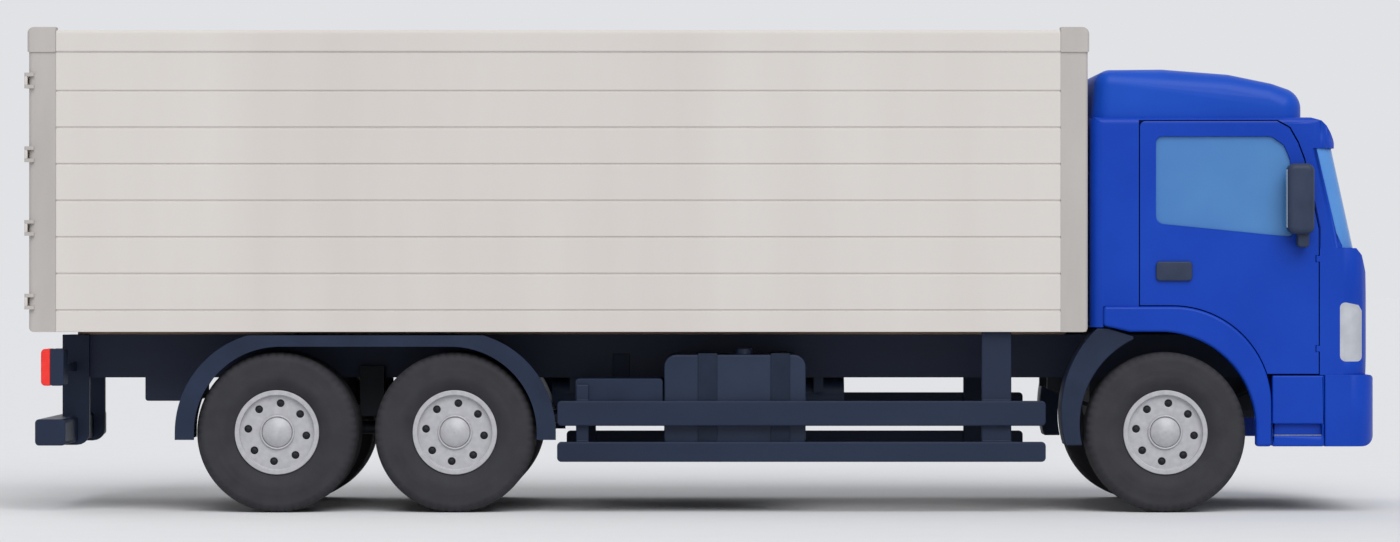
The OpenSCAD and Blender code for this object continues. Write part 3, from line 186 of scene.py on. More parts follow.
def mottle(tree, size_mm, dark, light, stretch=(1, 1, 1)):
    """A slow change between two colours, from noise on Object coordinates whose blots are about
    size_mm across, drawn out by stretch. Returns the colour and the noise itself."""
    place = node(tree, "ShaderNodeTexCoord")
    drawn_out = node(tree, "ShaderNodeMapping", {"Scale": stretch}, {"Vector": place.outputs["Object"]})
    blots = node(tree, "ShaderNodeTexNoise", {"Scale": 1000 / size_mm, "Detail": 4.0, "Roughness": 0.55},
                 {"Vector": drawn_out.outputs["Vector"]})
    tone = node(tree, "ShaderNodeValToRGB", None, {"Fac": blots.outputs["Fac"]})
    first, last = tone.color_ramp.elements
    first.position, last.position = 0.32, 0.68
    first.color, last.color = linear(dark), linear(light)
    return tone.outputs["Color"], blots.outputs["Fac"]


def relief(tree, size_mm, height_mm):
    """A fine unevenness of the surface, from noise with grains size_mm across and height_mm high."""
    place = node(tree, "ShaderNodeTexCoord")
    grain = node(tree, "ShaderNodeTexNoise", {"Scale": 1000 / size_mm, "Detail": 2.0},
                 {"Vector": place.outputs["Object"]})
    bump = node(tree, "ShaderNodeBump", {"Strength": 1.0, "Distance": height_mm / 1000},
                {"Height": grain.outputs["Fac"]})
    return bump.outputs["Normal"]


def uneven(tree, fac, smooth, rough):
    """A roughness that follows a noise between two values."""
    spread = node(tree, "ShaderNodeMapRange",
                  {"From Min": 0.3, "From Max": 0.7, "To Min": smooth, "To Max": rough}, {"Value": fac})
    return spread.outputs["Result"]


def surface(tree, settings, links):
    """The shader at the end of a material, with its plain values and what is linked to it. The specular
    level is low unless the values say otherwise, as on finishes that have lost their first shine."""
    skin = node(tree, "ShaderNodeBsdfPrincipled", {"Specular IOR Level": 0.2} | settings, links)
    node(tree, "ShaderNodeOutputMaterial", None, {"Surface": skin.outputs["BSDF"]})


def frame_enamel():
    """Dipped alkyd enamel: near black blue, satin, with slow runs along the rails."""
    made, tree = new_material("frame_enamel")
    colour, fac = mottle(tree, 400, "#283045", "#303950", (0.3, 1, 1))
    surface(tree, {"IOR": 1.5}, {"Base Color": colour, "Roughness": uneven(tree, fac, 0.42, 0.58),
                                 "Normal": relief(tree, 30, 0.4)})
    return made


def dress(names, material, edge_mm, join_flats=True):
    """Gives solids their finish and rounds their edges: the loose triangles are welded, flat ones are
    joined unless holes pierce them, and every edge that turns by more than EDGE_TURN is rounded to a width
    of edge_mm."""
    for name in names:
        piece = nodes[name]
        for holder in piece.material_slots:
            holder.material = material
        weld = piece.modifiers.new("weld", "WELD")
        weld.merge_threshold = WELD_REACH
        if join_flats:
            flat = piece.modifiers.new("flat", "DECIMATE")
            flat.decimate_type = "DISSOLVE"
            flat.angle_limit = FLAT_WITHIN
        soft = piece.modifiers.new("soft_edges", "BEVEL")
        soft.width = edge_mm / 1000
        soft.segments = EDGE_RINGS
        soft.limit_method = "ANGLE"
        soft.angle_limit = EDGE_TURN
        soft.harden_normals = True
        soft.use_clamp_overlap = True
        soft.miter_outer = "MITER_ARC"


enamel = frame_enamel()
dress(["chassis_frame"], enamel, edge_mm=3)


# Engine and gearbox: grey iron castings, bolted together and held between the rails. They are seen only
# from below and when the cab is tilted.


def cast_iron():
    """Sand-cast iron under thin paint: dark, dull and grainy."""
    made, tree = new_material("cast_iron")
    colour, fac = mottle(tree, 120, "#2a2c32", "#373a41")
    surface(tree, {"Metallic": 0.2}, {"Base Color": colour, "Roughness": uneven(tree, fac, 0.6, 0.8),
                                      "Normal": relief(tree, 14, 0.9)})
    return made


iron = cast_iron()
dress(["engine_block"], iron, edge_mm=12)


# Axles and knuckles: a forged front beam, knuckles with turned spindles on kingpins at its ends, and cast
# rear housings with their differentials, in the same dull dark finish.
dress(["front_axle", "rear_axles", "knuckle_left", "knuckle_right"], iron, edge_mm=5)


# Springs: stacks of rolled steel leaves, clamped at the middle to the axles or trunnions and brushed with
# anti-rust paint.


def spring_steel():
    """Rolled spring steel: dark, with a scale that is drawn out along the leaves."""
    made, tree = new_material("spring_steel")
    colour, fac = mottle(tree, 200, "#212328", "#2f3137", (0.2, 1, 1))
    surface(tree, {"Metallic": 0.4}, {"Base Color": colour, "Roughness": uneven(tree, fac, 0.5, 0.7)})
    return made


dress(["front_springs", "rear_suspension"], spring_steel(), edge_mm=2)


# Propeller shafts: drawn steel tubes with welded yokes, which take the drive from the gearbox to the rear
# axles. They are bare but oiled.


def drawn_steel():
    """Cold-drawn tube: grey and slightly shiny, with faint rings from the turning."""
    made, tree = new_material("drawn_steel")
    colour, fac = mottle(tree, 60, "#3f4249", "#4d5058", (6, 1, 1))
    surface(tree, {"Metallic": 0.7}, {"Base Color": colour, "Roughness": uneven(tree, fac, 0.35, 0.5)})
    return made


dress(["propshafts"], drawn_steel(), edge_mm=3)


# Wheels: pressed steel discs welded into rolled rims, with domed hub covers, sprayed silver grey. The front
# axle has one a side, the rear axles have pairs.
SIDES = {"right": -1, "left": 1}
# Wheels of one side: node and body
AXLE_WHEELS = (("wheel_front", "front_wheel"), ("wheels_drive", "drive_wheels"), ("wheels_tag", "tag_wheels"))


def wheel_silver():
    """Silver wheel lacquer: pale cool grey, satin, with fine metal flakes that show as a soft mottle."""
    made, tree = new_material("wheel_silver")
    colour, fac = mottle(tree, 40, "#adadb1", "#b9b9bd")
    surface(tree, {"Metallic": 0.15}, {"Base Color": colour, "Roughness": uneven(tree, fac, 0.38, 0.5)})
    return made


silver = wheel_silver()
dress([f"{wheel_node}_{side}" for side in SIDES for wheel_node, _ in AXLE_WHEELS], silver, edge_mm=5)


# Hub flanges, wheel nuts and hub rings: a forged flange behind each outer disc, with a stud and a six-sided
# nut in each of the disc's holes, all black from the phosphate bath. A rolled ring seals the hub's cover.
FLANGE_RADII = (0.104, 0.252)
FLANGE_THICK = 0.012
DISC_BACK, DISC_FACE = 0.050, 0.035
RING_RADIUS, RING_HALF = 0.1145, 0.007
RING_SIDES = 16
HUB_STEPS = 96
NUT_CIRCLE = 0.205
NUT_FIRST = math.radians(6.5)
NUT_COUNT = 8
NUT_HALF_FLATS = 0.017
NUT_HEIGHT = 0.010
NUT_STEPS = 36
# Outline of a nut on its stud, from the stud's middle to the nut's foot: shares of its radius and height
NUT_OUTLINE = np.array([[0.0, 1.45], [0.42, 1.45], [0.48, 1.35], [0.5, 1.0], [0.88, 1.0], [1.0, 0.85],
                        [1.0, 0.0]])
STUD_SHARE = 0.49
MERGE_REACH = 0.00002


def joined(name, grids, material, close_u=False, close_v=True):
    """Several grids of points in one mesh. The faces of each are turned outwards: the volume that they
    enclose, the sum of the tetrahedra from the grid's middle to each triangle, comes out positive. Unless the
    rows close to a ring, seams and poles are merged, where a row runs together in one point."""
    points, faces, start = [], [], 0
    for grid in grids:
        flat = grid.reshape(-1, 3)
        quads = grid_faces(*grid.shape[:2], close_u, close_v)
        a, b, c, d = (flat[quads[:, i]] - flat.mean(0) for i in range(4))
        volume = np.sum(a * (np.cross(b, c) + np.cross(c, d)))
        points.append(flat)
        faces.append(start + (quads if volume > 0 else quads[:, ::-1]))
        start += len(flat)
    made = mesh_piece(name, np.concatenate(points), np.concatenate(faces), material)
    if not close_u:
        shape = bmesh.new()
        shape.from_mesh(made.data)
        bmesh.ops.remove_doubles(shape, verts=shape.verts, dist=MERGE_REACH)
        shape.to_mesh(made.data)
        shape.free()
    return made


def turned(centre, radius, across, angle):
    """Points round an axle that lies across the truck: from its centre, along it by across, and out from it
    by radius at each angle."""
    x, y, z = centre
    ahead, up = radius * np.cos(angle), radius * np.sin(angle)
    return np.stack(np.broadcast_arrays(x + ahead, y + across, z + up), -1)


def wheel_nut(centre, out):
    """A nut on its stud, as rings about its axis: the stud is round, and the nut's radius is its half width
    over flats divided by the cosine of the angle from the middle of a flat."""
    angle = np.linspace(0, math.tau, NUT_STEPS, endpoint=False)
    flats = NUT_HALF_FLATS / np.cos((angle % (math.pi / 3)) - math.pi / 6)
    share, rise = NUT_OUTLINE[:, :1], NUT_OUTLINE[:, 1:] * NUT_HEIGHT
    radius = share * np.where(share > STUD_SHARE, flats, NUT_HALF_FLATS)
    return turned(centre, radius, out * rise, angle)


def hub_flange(centre, out):
    """A flat ring: a rectangle turned about the axle, its outer face at the centre."""
    angle = np.linspace(0, math.tau, HUB_STEPS, endpoint=False)[:, None]
    inner, outer = FLANGE_RADII
    depth = np.array([0, 0, 1, 1]) * FLANGE_THICK
    return turned(centre, np.array([inner, outer, outer, inner]), -out * depth, angle)


def hub_ring(centre):
    """A round bar bent to a ring: a small circle turned about the axle, half of it above the disc."""
    angle = np.linspace(0, math.tau, HUB_STEPS, endpoint=False)[:, None]
    bar = np.linspace(0, math.tau, RING_SIDES, endpoint=False)[None, :]
    return turned(centre, RING_RADIUS + RING_HALF * np.cos(bar), RING_HALF * np.sin(bar), angle)


def black_phosphate():
    """Phosphated steel: charcoal black, dull, with a fine crystal grain."""
    made, tree = new_material("black_phosphate")
    colour, fac = mottle(tree, 12, "#242529", "#333439")
    surface(tree, {"Metallic": 0.3}, {"Base Color": colour, "Roughness": uneven(tree, fac, 0.55, 0.7)})
    return made


def corners(name):
    """A node's lowest and highest corners, as arrays."""
    low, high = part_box(name)
    return np.array(low), np.array(high)


phosphate = black_phosphate()
nut_turns = NUT_FIRST + math.tau / NUT_COUNT * np.arange(NUT_COUNT)
for side, sign in SIDES.items():
    for wheel_node, wheel_body in AXLE_WHEELS:
        low, high = corners(f"{wheel_node}_{side}")
        axle_x, axle_z = (low[0] + high[0]) / 2, (low[2] + high[2]) / 2
        rim_y = max(abs(low[1]), abs(high[1]))
        face_y = sign * (rim_y - DISC_BACK)
        nut_places = [(axle_x + NUT_CIRCLE * math.cos(turn), face_y, axle_z - NUT_CIRCLE * math.sin(turn))
                      for turn in nut_turns]
        ring = joined(f"{wheel_node}_{side}_ring", [hub_ring((axle_x, sign * (rim_y - DISC_FACE), axle_z))],
                      silver, close_u=True)
        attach(ring, f"{side}_{wheel_body}")
        flange = joined(f"{wheel_node}_{side}_flange", [hub_flange((axle_x, face_y, axle_z), sign)],
                        phosphate, close_u=True)
        nuts = joined(f"{wheel_node}_{side}_nuts", [wheel_nut(place, sign) for place in nut_places],
                      phosphate)
        for piece in (flange, nuts):
            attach(piece, f"{side}_{wheel_body}")


# Tyres: radial truck tyres, moulded and cured, with plain walls, five ribs of tread between zigzag grooves
# and short notches across the shoulders. Each stands for the solid of its node.
BEAD_RADIUS = 0.281
BEAD_HALF = 0.110
BEAD_HEIGHT = 0.017
BULGE_RISE = 0.10
# Step moulded round the wall: its height, and its place and width as shares of the wall's climb
WALL_STEP = (0.0022, 0.72, 0.035)
SHOULDER_RADIUS = 0.065
GROOVE_MIDDLES = (0.022, 0.068)
GROOVE_HALF = 0.0065
GROOVE_DEPTH = 0.013
# Section of a groove: shares of its half width and of its depth
GROOVE_SECTION = ((1.3, 0), (0.8, 1), (-0.8, 1), (-1.3, 0))
ZIGZAG = 0.006
ZIGZAGS = 40
NOTCH_DEPTH = 0.007
NOTCH_INSET, NOTCH_DROP = 0.006, 0.045
NOTCHES = 60
CARCASS, CROWN_THICK = 0.030, 0.048
WALL_ROWS, SHOULDER_ROWS = 18, 9
TYRE_STEPS = 240
TWIN_PITCH = 0.345
# Tyres of one side: node, body and number of tyres beside each other
AXLE_TYRES = (("tyre_front", "front_wheel", 1), ("tyres_drive", "drive_wheels", 2),
              ("tyres_tag", "tag_wheels", 2))


def tyre_section(radius, half):
    """Section of a tyre from bead to bead, closed by its inner wall, as rows of across, radius and share of
    the zigzag. The wall bulges by a sine to half its height, the shoulder is a quarter circle, and each
    groove is four points in an otherwise straight tread."""
    tread_half = half - SHOULDER_RADIUS
    foot = radius - SHOULDER_RADIUS
    climb = np.linspace(0, 1, WALL_ROWS)
    wall_r = BEAD_RADIUS + (foot - BEAD_RADIUS) * climb
    bulge = np.sin(np.pi / 2 * np.clip((wall_r - BEAD_RADIUS - BEAD_HEIGHT) / BULGE_RISE, 0, 1))
    step_high, step_at, step_wide = WALL_STEP
    step = step_high * np.exp(-((climb - step_at) / step_wide) ** 2) - step_high
    wall = np.stack([BEAD_HALF + (half - BEAD_HALF + step) * bulge, wall_r, 0 * climb], 1)
    arc = np.linspace(0, np.pi / 2, SHOULDER_ROWS)[1:]
    shoulder = np.stack([tread_half + SHOULDER_RADIUS * np.cos(arc), foot + SHOULDER_RADIUS * np.sin(arc),
                         0 * arc], 1)
    cuts = np.array([[middle + GROOVE_HALF * wide, radius - GROOVE_DEPTH * deep, 1.0]
                     for middle in GROOVE_MIDDLES[::-1] for wide, deep in GROOVE_SECTION])
    side = np.concatenate([wall, shoulder, cuts])
    other = side[::-1] * np.array([-1, 1, 1])
    lining = np.array([[-1, 0.0], [-1, 1.0], [1, 1.0], [1, 0.0]])
    inner = np.stack([lining[:, 0] * (BEAD_HALF - CARCASS + (half - BEAD_HALF) * lining[:, 1]),
                      BEAD_RADIUS + (radius - BEAD_RADIUS - CROWN_THICK) * lining[:, 1],
                      np.zeros(4)], 1)
    return np.concatenate([side, other, inner])


def tyre_points(centre, radius, half):
    """A tyre's section turned about its axle: columns with a share of the zigzag swing across by a
    triangle wave, and the shoulders dip by NOTCH_DEPTH at every notch."""
    section = tyre_section(radius, half)
    angle = np.linspace(0, math.tau, TYRE_STEPS, endpoint=False)[:, None]
    swing = 2 / np.pi * np.arcsin(np.sin(angle * ZIGZAGS)) * ZIGZAG
    across = section[None, :, 0] + swing * section[None, :, 2]
    on_shoulder = ((np.abs(section[:, 0]) > half - SHOULDER_RADIUS + NOTCH_INSET)
                   & (section[:, 1] > radius - NOTCH_DROP))
    at_notch = np.arange(TYRE_STEPS) % (TYRE_STEPS // NOTCHES) == 0
    reach = section[None, :, 1] - NOTCH_DEPTH * at_notch[:, None] * on_shoulder[None, :]
    return turned(centre, reach, across, angle)


def tyre_rubber():
    """Cured rubber: charcoal, dull, with a faint bloom and a fine mould grain."""
    made, tree = new_material("tyre_rubber")
    colour, fac = mottle(tree, 150, "#313135", "#3a3a3e")
    surface(tree, {"IOR": 1.52}, {"Base Color": colour, "Roughness": uneven(tree, fac, 0.68, 0.82),
                                  "Normal": relief(tree, 9, 0.25)})
    return made


rubber = tyre_rubber()
for side, sign in SIDES.items():
    for tyre_node, wheel_body, count in AXLE_TYRES:
        low, high = corners(f"{tyre_node}_{side}")
        middle = (low + high) / 2
        tyre_radius = (high[2] - low[2]) / 2
        tyre_half = (high[1] - low[1] - (count - 1) * TWIN_PITCH) / 2
        outer_y = sign * (max(abs(low[1]), abs(high[1])) - tyre_half)
        rows = [tyre_points((middle[0], outer_y - sign * i * TWIN_PITCH, middle[2]), tyre_radius, tyre_half)
                for i in range(count)]
        tyre = joined(f"{tyre_node}_{side}_rubber", rows, rubber, close_u=True)
        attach(tyre, f"{side}_{wheel_body}")
        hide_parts(f"{tyre_node}_{side}")


# Air tanks, fuel tanks and straps: rolled sheet, welded and painted to match the frame, the fuel tanks
# held by broad steel bands with a rubber lining.


def tank_enamel():
    """Stove enamel on rolled sheet: slate blue, satin, with the slow waves of the sheet."""
    made, tree = new_material("tank_enamel")
    colour, fac = mottle(tree, 500, "#232e43", "#2a354b")
    surface(tree, {"IOR": 1.5}, {"Base Color": colour, "Roughness": uneven(tree, fac, 0.34, 0.46),
                                 "Normal": relief(tree, 160, 1.2)})
    return made


def band_steel():
    """Galvanised band under enamel: a shade darker than the tank, slightly shiny."""
    made, tree = new_material("band_steel")
    colour, fac = mottle(tree, 180, "#1b2536", "#212b3e")
    surface(tree, {"Metallic": 0.25}, {"Base Color": colour, "Roughness": uneven(tree, fac, 0.36, 0.5)})
    return made


stoved = tank_enamel()
dress(["fuel_tanks"], stoved, edge_mm=14)
dress(["air_tanks"], stoved, edge_mm=8)
dress(["tank_straps"], band_steel(), edge_mm=4)


# Stowage boxes, mudguards and side guards: the boxes and mudguards are moulded plastic, the guards
# are extruded rails with a powder coat of the same slate blue.


def moulded_plastic():
    """Injection-moulded polypropylene: slate blue, with a leather-like mould grain, drawn at 18 mm so
    that it shows."""
    made, tree = new_material("moulded_plastic")
    colour, fac = mottle(tree, 260, "#1c263b", "#232e45")
    surface(tree, {"IOR": 1.49}, {"Base Color": colour, "Roughness": uneven(tree, fac, 0.48, 0.6),
                                  "Normal": relief(tree, 18, 0.35)})
    return made


def powder_coat():
    """Powder coat on extruded aluminium: slate blue, even and satin, with a fine orange peel."""
    made, tree = new_material("powder_coat")
    colour, fac = mottle(tree, 700, "#1e283d", "#242f46", (0.4, 1, 1))
    surface(tree, {"IOR": 1.5}, {"Base Color": colour, "Roughness": uneven(tree, fac, 0.42, 0.52),
                                 "Normal": relief(tree, 12, 0.15)})
    return made


plastic = moulded_plastic()
coat = powder_coat()
dress(["stowage_boxes"], plastic, edge_mm=14)
dress(["rear_mudguards", "front_mudguards"], plastic, edge_mm=10)
dress(["side_guards"], coat, edge_mm=16)


# Underrun guard: a box section across the rear, welded to two brackets from the frame, with the housings of
# the tail lamps. It has the side guards' coat.
dress(["underrun_guard"], coat, edge_mm=16)


# Tail lamps: red acrylic lenses, moulded with level ribs inside. Each is pressed into its housing on the
# underrun guard.


def ribs(tree, axis, pitch_mm):
    """Even ribs along one axis of the Object coordinates, pitch_mm apart, as a height from 0 to 1. The wave
    repeats every tau / 20 of its own units, so its scale is tau / 20 over the pitch in metres."""
    place = node(tree, "ShaderNodeTexCoord")
    wave = node(tree, "ShaderNodeTexWave",
                {"bands_direction": axis, "Scale": math.tau * 50 / pitch_mm, "Distortion": 0.0},
                {"Vector": place.outputs["Object"]})
    return wave.outputs["Fac"]


def red_acrylic():
    """Red acrylic: clear and glossy outside, with moulded ribs 16 mm apart that catch the light."""
    made, tree = new_material("red_acrylic")
    colour, _ = mottle(tree, 90, "#e8302a", "#f43d36")
    bump = node(tree, "ShaderNodeBump", {"Strength": 0.5, "Distance": 0.002}, {"Height": ribs(tree, "Z", 16)})
    surface(tree, {"IOR": 1.49, "Roughness": 0.22, "Coat Weight": 0.15},
            {"Base Color": colour, "Normal": bump.outputs["Normal"]})
    return made


dress(["tail_lamps"], red_acrylic(), edge_mm=8)


# Load floor: hardwood boards screwed to steel runners and sealed with dark oil. They are seen when the rear
# doors are open.


def oiled_hardwood():
    """Oiled hardwood boards 140 mm wide along the truck: warm grey brown, grain drawn out lengthwise,
    a sunken joint between boards."""
    made, tree = new_material("oiled_hardwood")
    colour, fac = mottle(tree, 60, "#7d6a58", "#96816c", (0.06, 1, 1))
    joints = node(tree, "ShaderNodeMapRange",
                  {"From Min": 0.0, "From Max": 0.06, "To Min": 0.0, "To Max": 1.0},
                  {"Value": ribs(tree, "Y", 140)})
    bump = node(tree, "ShaderNodeBump", {"Strength": 0.8, "Distance": 0.003},
                {"Height": joints.outputs["Result"]})
    surface(tree, {}, {"Base Color": colour, "Roughness": uneven(tree, fac, 0.5, 0.7),
                       "Normal": bump.outputs["Normal"]})
    return made


dress(["box_floor"], oiled_hardwood(), edge_mm=3, join_flats=False)


# Box walls and doors: glass-fibre panels with a pale gelcoat, pressed with shallow grooves, held in
# extruded posts and rails that are coated a shade darker, with cast caps at the corners.


def gelcoat():
    """Polyester gelcoat: warm white, satin, with faint upright weather streaks and the slow waves of a
    large panel."""
    made, tree = new_material("gelcoat")
    colour, fac = mottle(tree, 900, "#cfc9c4", "#d5d0cb", (1, 1, 0.15))
    surface(tree, {"IOR": 1.5}, {"Base Color": colour, "Roughness": uneven(tree, fac, 0.45, 0.58),
                                 "Normal": relief(tree, 220, 0.8)})
    return made


def coated_extrusion():
    """Coated aluminium extrusion: warm grey, satin, drawn out along its length."""
    made, tree = new_material("coated_extrusion")
    colour, fac = mottle(tree, 350, "#b2ada9", "#bdb8b4", (1, 1, 0.2))
    surface(tree, {"IOR": 1.5}, {"Base Color": colour, "Roughness": uneven(tree, fac, 0.42, 0.55),
                                 "Normal": relief(tree, 25, 0.2)})
    return made


panel = gelcoat()
dress(["box_walls", "box_roof"], panel, edge_mm=8)
dress(["rear_door_left", "rear_door_right"], panel, edge_mm=5)
dress(["box_posts"], coated_extrusion(), edge_mm=14)


# Cab shell: pressed steel panels, spot-welded and sprayed in one blue, with trims, bumper and steps sprayed
# to match. The floor is dipped with the frame.


def cab_lacquer(name, dark, light):
    """Two-coat acrylic lacquer: deep blue, satin, with slow waves of the sheet and a faint orange peel,
    drawn at 30 mm so that it shows."""
    made, tree = new_material(name)
    colour, fac = mottle(tree, 900, dark, light)
    surface(tree, {"IOR": 1.5}, {"Base Color": colour, "Roughness": uneven(tree, fac, 0.34, 0.44),
                                 "Normal": relief(tree, 30, 0.12)})
    return made


lacquer = cab_lacquer("cab_lacquer", "#0239a8", "#0a41b2")
dress(["cab_back", "cab_front", "cab_roof"], lacquer, edge_mm=12)
dress(["arch_trims", "front_bumper"], lacquer, edge_mm=20)
dress(["entry_steps"], lacquer, edge_mm=12, join_flats=False)
dress(["cab_floor"], enamel, edge_mm=4)


# Roof fairing: moulded in glass fibre in one piece with round edges, screwed to the roof through its
# flange, and sprayed a shade lighter than the cab. It stands for the faceted solid of its node.
FAIRING_RAKE = 0.020
FAIRING_STEPS, FAIRING_ROWS = 161, 26
SHORT_OF_UPRIGHT = 0.004
# Crossbars from rear to front: along from the rear foot, height over the roof, radius
FAIRING_BARS = np.array([[0.132, 0.226, 0.112], [0.495, 0.191, 0.152], [0.945, 0.158, 0.150],
                         [1.235, 0.108, 0.140], [1.330, 0.065, 0.150]])


def hull_of_balls(centres, radii, directions):
    """The skin stretched over a set of balls: for each direction, the ball that reaches furthest that way,
    and on it the point that lies furthest that way."""
    reach = directions @ centres.T + radii
    best = np.argmax(reach, -1)
    return centres[best] + radii[best][..., None] * directions


def fairing_grids(low, high):
    """The fairing's walls and top. Rows of directions climb from level to upright, their points lie on the
    skin over the bars' ends, and the first row is dropped to the roof, the rear end raked back. The top is
    a strip of quads across from left to right."""
    half, middle = (high[1] - low[1]) / 2, (high[1] + low[1]) / 2
    ends = [[low[0] + x, middle + s * (half - r), low[2] + z] for x, z, r in FAIRING_BARS for s in (-1, 1)]
    radii = np.repeat(FAIRING_BARS[:, 2], 2)
    round_by = np.linspace(0, math.tau, FAIRING_STEPS)[None, :]
    climb = np.linspace(0, math.pi / 2 - SHORT_OF_UPRIGHT, FAIRING_ROWS)[:, None]
    level = np.cos(climb)
    directions = np.stack(np.broadcast_arrays(level * np.cos(round_by), level * np.sin(round_by),
                                              np.sin(climb)), -1)
    skin = hull_of_balls(np.array(ends), radii, directions)
    foot = skin[0].copy()
    foot[:, 2] = low[2]
    foot[:, 0] -= FAIRING_RAKE * np.clip(-np.cos(round_by[0]), 0, 1)
    walls = np.concatenate([foot[None], skin])
    rim = skin[-1]
    count = (len(rim) + 1) // 2
    return walls, np.stack([rim[:count], rim[::-1][:count]], 1)


fairing = joined("fairing_shell", fairing_grids(*corners("roof_fairing")),
                 cab_lacquer("fairing_lacquer", "#0945b1", "#104cba"), close_v=False)
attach(fairing, "cab")
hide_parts("roof_fairing")


# Windows: tinted safety glass, cut, bent and toughened, bonded into the windscreen's frame and set in rubber
# in the doors.


def tinted_glass(name, dark, light):
    """Tinted safety glass: pale blue, glossy, letting a little light through."""
    made, tree = new_material(name)
    colour, _ = mottle(tree, 1200, dark, light)
    surface(tree, {"IOR": 1.5, "Roughness": 0.12, "Transmission Weight": 0.15}, {"Base Color": colour})
    return made


dress(["windshield"], tinted_glass("screen_glass", "#4f8ad8", "#62a0e2"), edge_mm=4)
dress(["door_glass_left", "door_glass_right"], tinted_glass("door_glass", "#4c82c6", "#5a93ce"), edge_mm=4)


# Headlights and grille: clear moulded lenses with upright flutes over a bright reflector, and a grille of
# moulded slats clipped into the front panel.


def fluted_lens():
    """Polycarbonate lens over a reflector: pale grey, glossy, with upright flutes 40 mm apart."""
    made, tree = new_material("fluted_lens")
    colour, _ = mottle(tree, 200, "#a5a8b0", "#bdc0c7")
    bump = node(tree, "ShaderNodeBump", {"Strength": 0.3, "Distance": 0.002}, {"Height": ribs(tree, "Y", 40)})
    surface(tree, {"IOR": 1.58, "Roughness": 0.2, "Coat Weight": 0.25},
            {"Base Color": colour, "Normal": bump.outputs["Normal"]})
    return made


def slat_plastic():
    """Moulded ABS: near black blue with a fine grain."""
    made, tree = new_material("slat_plastic")
    colour, fac = mottle(tree, 150, "#191f2c", "#212836")
    surface(tree, {"IOR": 1.5}, {"Base Color": colour, "Roughness": uneven(tree, fac, 0.4, 0.52),
                                 "Normal": relief(tree, 10, 0.2)})
    return made


slat = slat_plastic()
dress(["headlights"], fluted_lens(), edge_mm=10)
dress(["grille"], slat, edge_mm=5, join_flats=False)


# Wipers: two steel arms on spindles in the cowl, each with a rubber blade that lies along the foot of the
# windscreen, clamped at its middle. All black.
SCREEN_LEAN = math.radians(12.4)
WIPER_SPINDLES = (-0.86, 0.06)
WIPER_FOOT = 0.030
ARM_SPAN, ARM_RISE = 0.52, 0.110
ARM_CLEAR, ARM_BOW = 0.020, 0.008
ARM_RADII = np.array([[0.011, 0.006]])
ARM_THICK, ARM_THIN = 1.35, 0.65
ARM_STEPS = 24
BLADE_HALF = 0.36
BLADE_CLEAR, BLADE_SAG = 0.008, 0.02
BLADE_RADII = np.array([[0.009, 0.009]])
BLADE_STEPS = 40
# Shares of an arm and of half a blade that round off at their ends, and the share of the radius left there
ARM_END, BLADE_END, TIP = 1 / 14, 1 / 30, 0.02
ROD_SIDES = 12


def rod(path, radii, normal):
    """A bar carried along a path in a plane: round each point of the path lies a ring, worked out from the
    plane's normal and the direction across the path, with its own radius along each of the two."""
    along = np.gradient(path, axis=0)
    across = np.cross(along, normal)
    across /= np.linalg.norm(across, axis=1, keepdims=True)
    angle = np.linspace(0, math.tau, ROD_SIDES, endpoint=False)
    wide, thick = radii[:, :1, None], radii[:, 1:, None]
    ring = (across[:, None, :] * np.cos(angle)[None, :, None] * wide
            + normal * np.sin(angle)[None, :, None] * thick)
    return path[:, None, :] + ring


def wiper_grids(spindle, foot, up, out):
    """An arm and its blade. The arm climbs the glass by a quarter of a sine and bows out from it by half a
    sine, growing thinner. The blade hangs at the arm's end by its middle and sags by a parabola."""
    share = np.linspace(0, 1, ARM_STEPS)[:, None]
    arm = (foot + np.array([0, spindle, 0]) + up * (WIPER_FOOT + ARM_RISE * np.sin(share * np.pi / 2))
           + np.array([0, ARM_SPAN, 0]) * share + out * (ARM_CLEAR + ARM_BOW * np.sin(np.pi * share)))
    arm_taper = (np.clip(np.minimum(share, 1 - share) / ARM_END, TIP, 1)
                 * (ARM_THICK + (ARM_THIN - ARM_THICK) * share))
    reach = np.linspace(-1, 1, BLADE_STEPS)[:, None]
    middle = arm[-1] + out * (BLADE_CLEAR - ARM_CLEAR)
    blade = middle + np.array([0, BLADE_HALF, 0]) * reach - up * BLADE_SAG * (1 - reach ** 2)
    blade_taper = np.clip((1 - np.abs(reach)) / BLADE_END, TIP, 1)
    return [rod(arm, arm_taper * ARM_RADII, out), rod(blade, blade_taper * BLADE_RADII, out)]


low, high = corners("windshield")
screen_foot = np.array([high[0], 0, low[2]])
screen_up = np.array([-math.sin(SCREEN_LEAN), 0, math.cos(SCREEN_LEAN)])
screen_out = np.array([math.cos(SCREEN_LEAN), 0, math.sin(SCREEN_LEAN)])
wipers = joined("wipers", [grid for spindle in WIPER_SPINDLES
                           for grid in wiper_grids(spindle, screen_foot, screen_up, screen_out)], slat)
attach(wipers, "cab")


# Seats: foam cushions in a woven cover on steel pedestals, one a side, each with a base, a back with sewn
# channels and a headrest. They stand for the plain solids of their node.
SEAT_Y = 0.58
# Pads of a seat: name, size along, across and thick, edge radius, crown, channels, lean, middle along, height
SEAT_PADS = (
    ("base", (0.47, 0.49, 0.128), 0.045, 0.016, (-0.08, 0.08), 4, 3.700, 1.622),
    ("back", (0.66, 0.49, 0.118), 0.045, 0.014, (-0.18, -0.02, 0.14), -82, 3.368, 2.005),
    ("headrest", (0.185, 0.23, 0.095), 0.040, 0.006, (), -85, 3.316, 2.424),
)
PAD_CELLS = (28, 20, 2)
CHANNEL_HALF, CHANNEL_DEPTH = 0.012, 0.014
EDGE_POINTS = 7
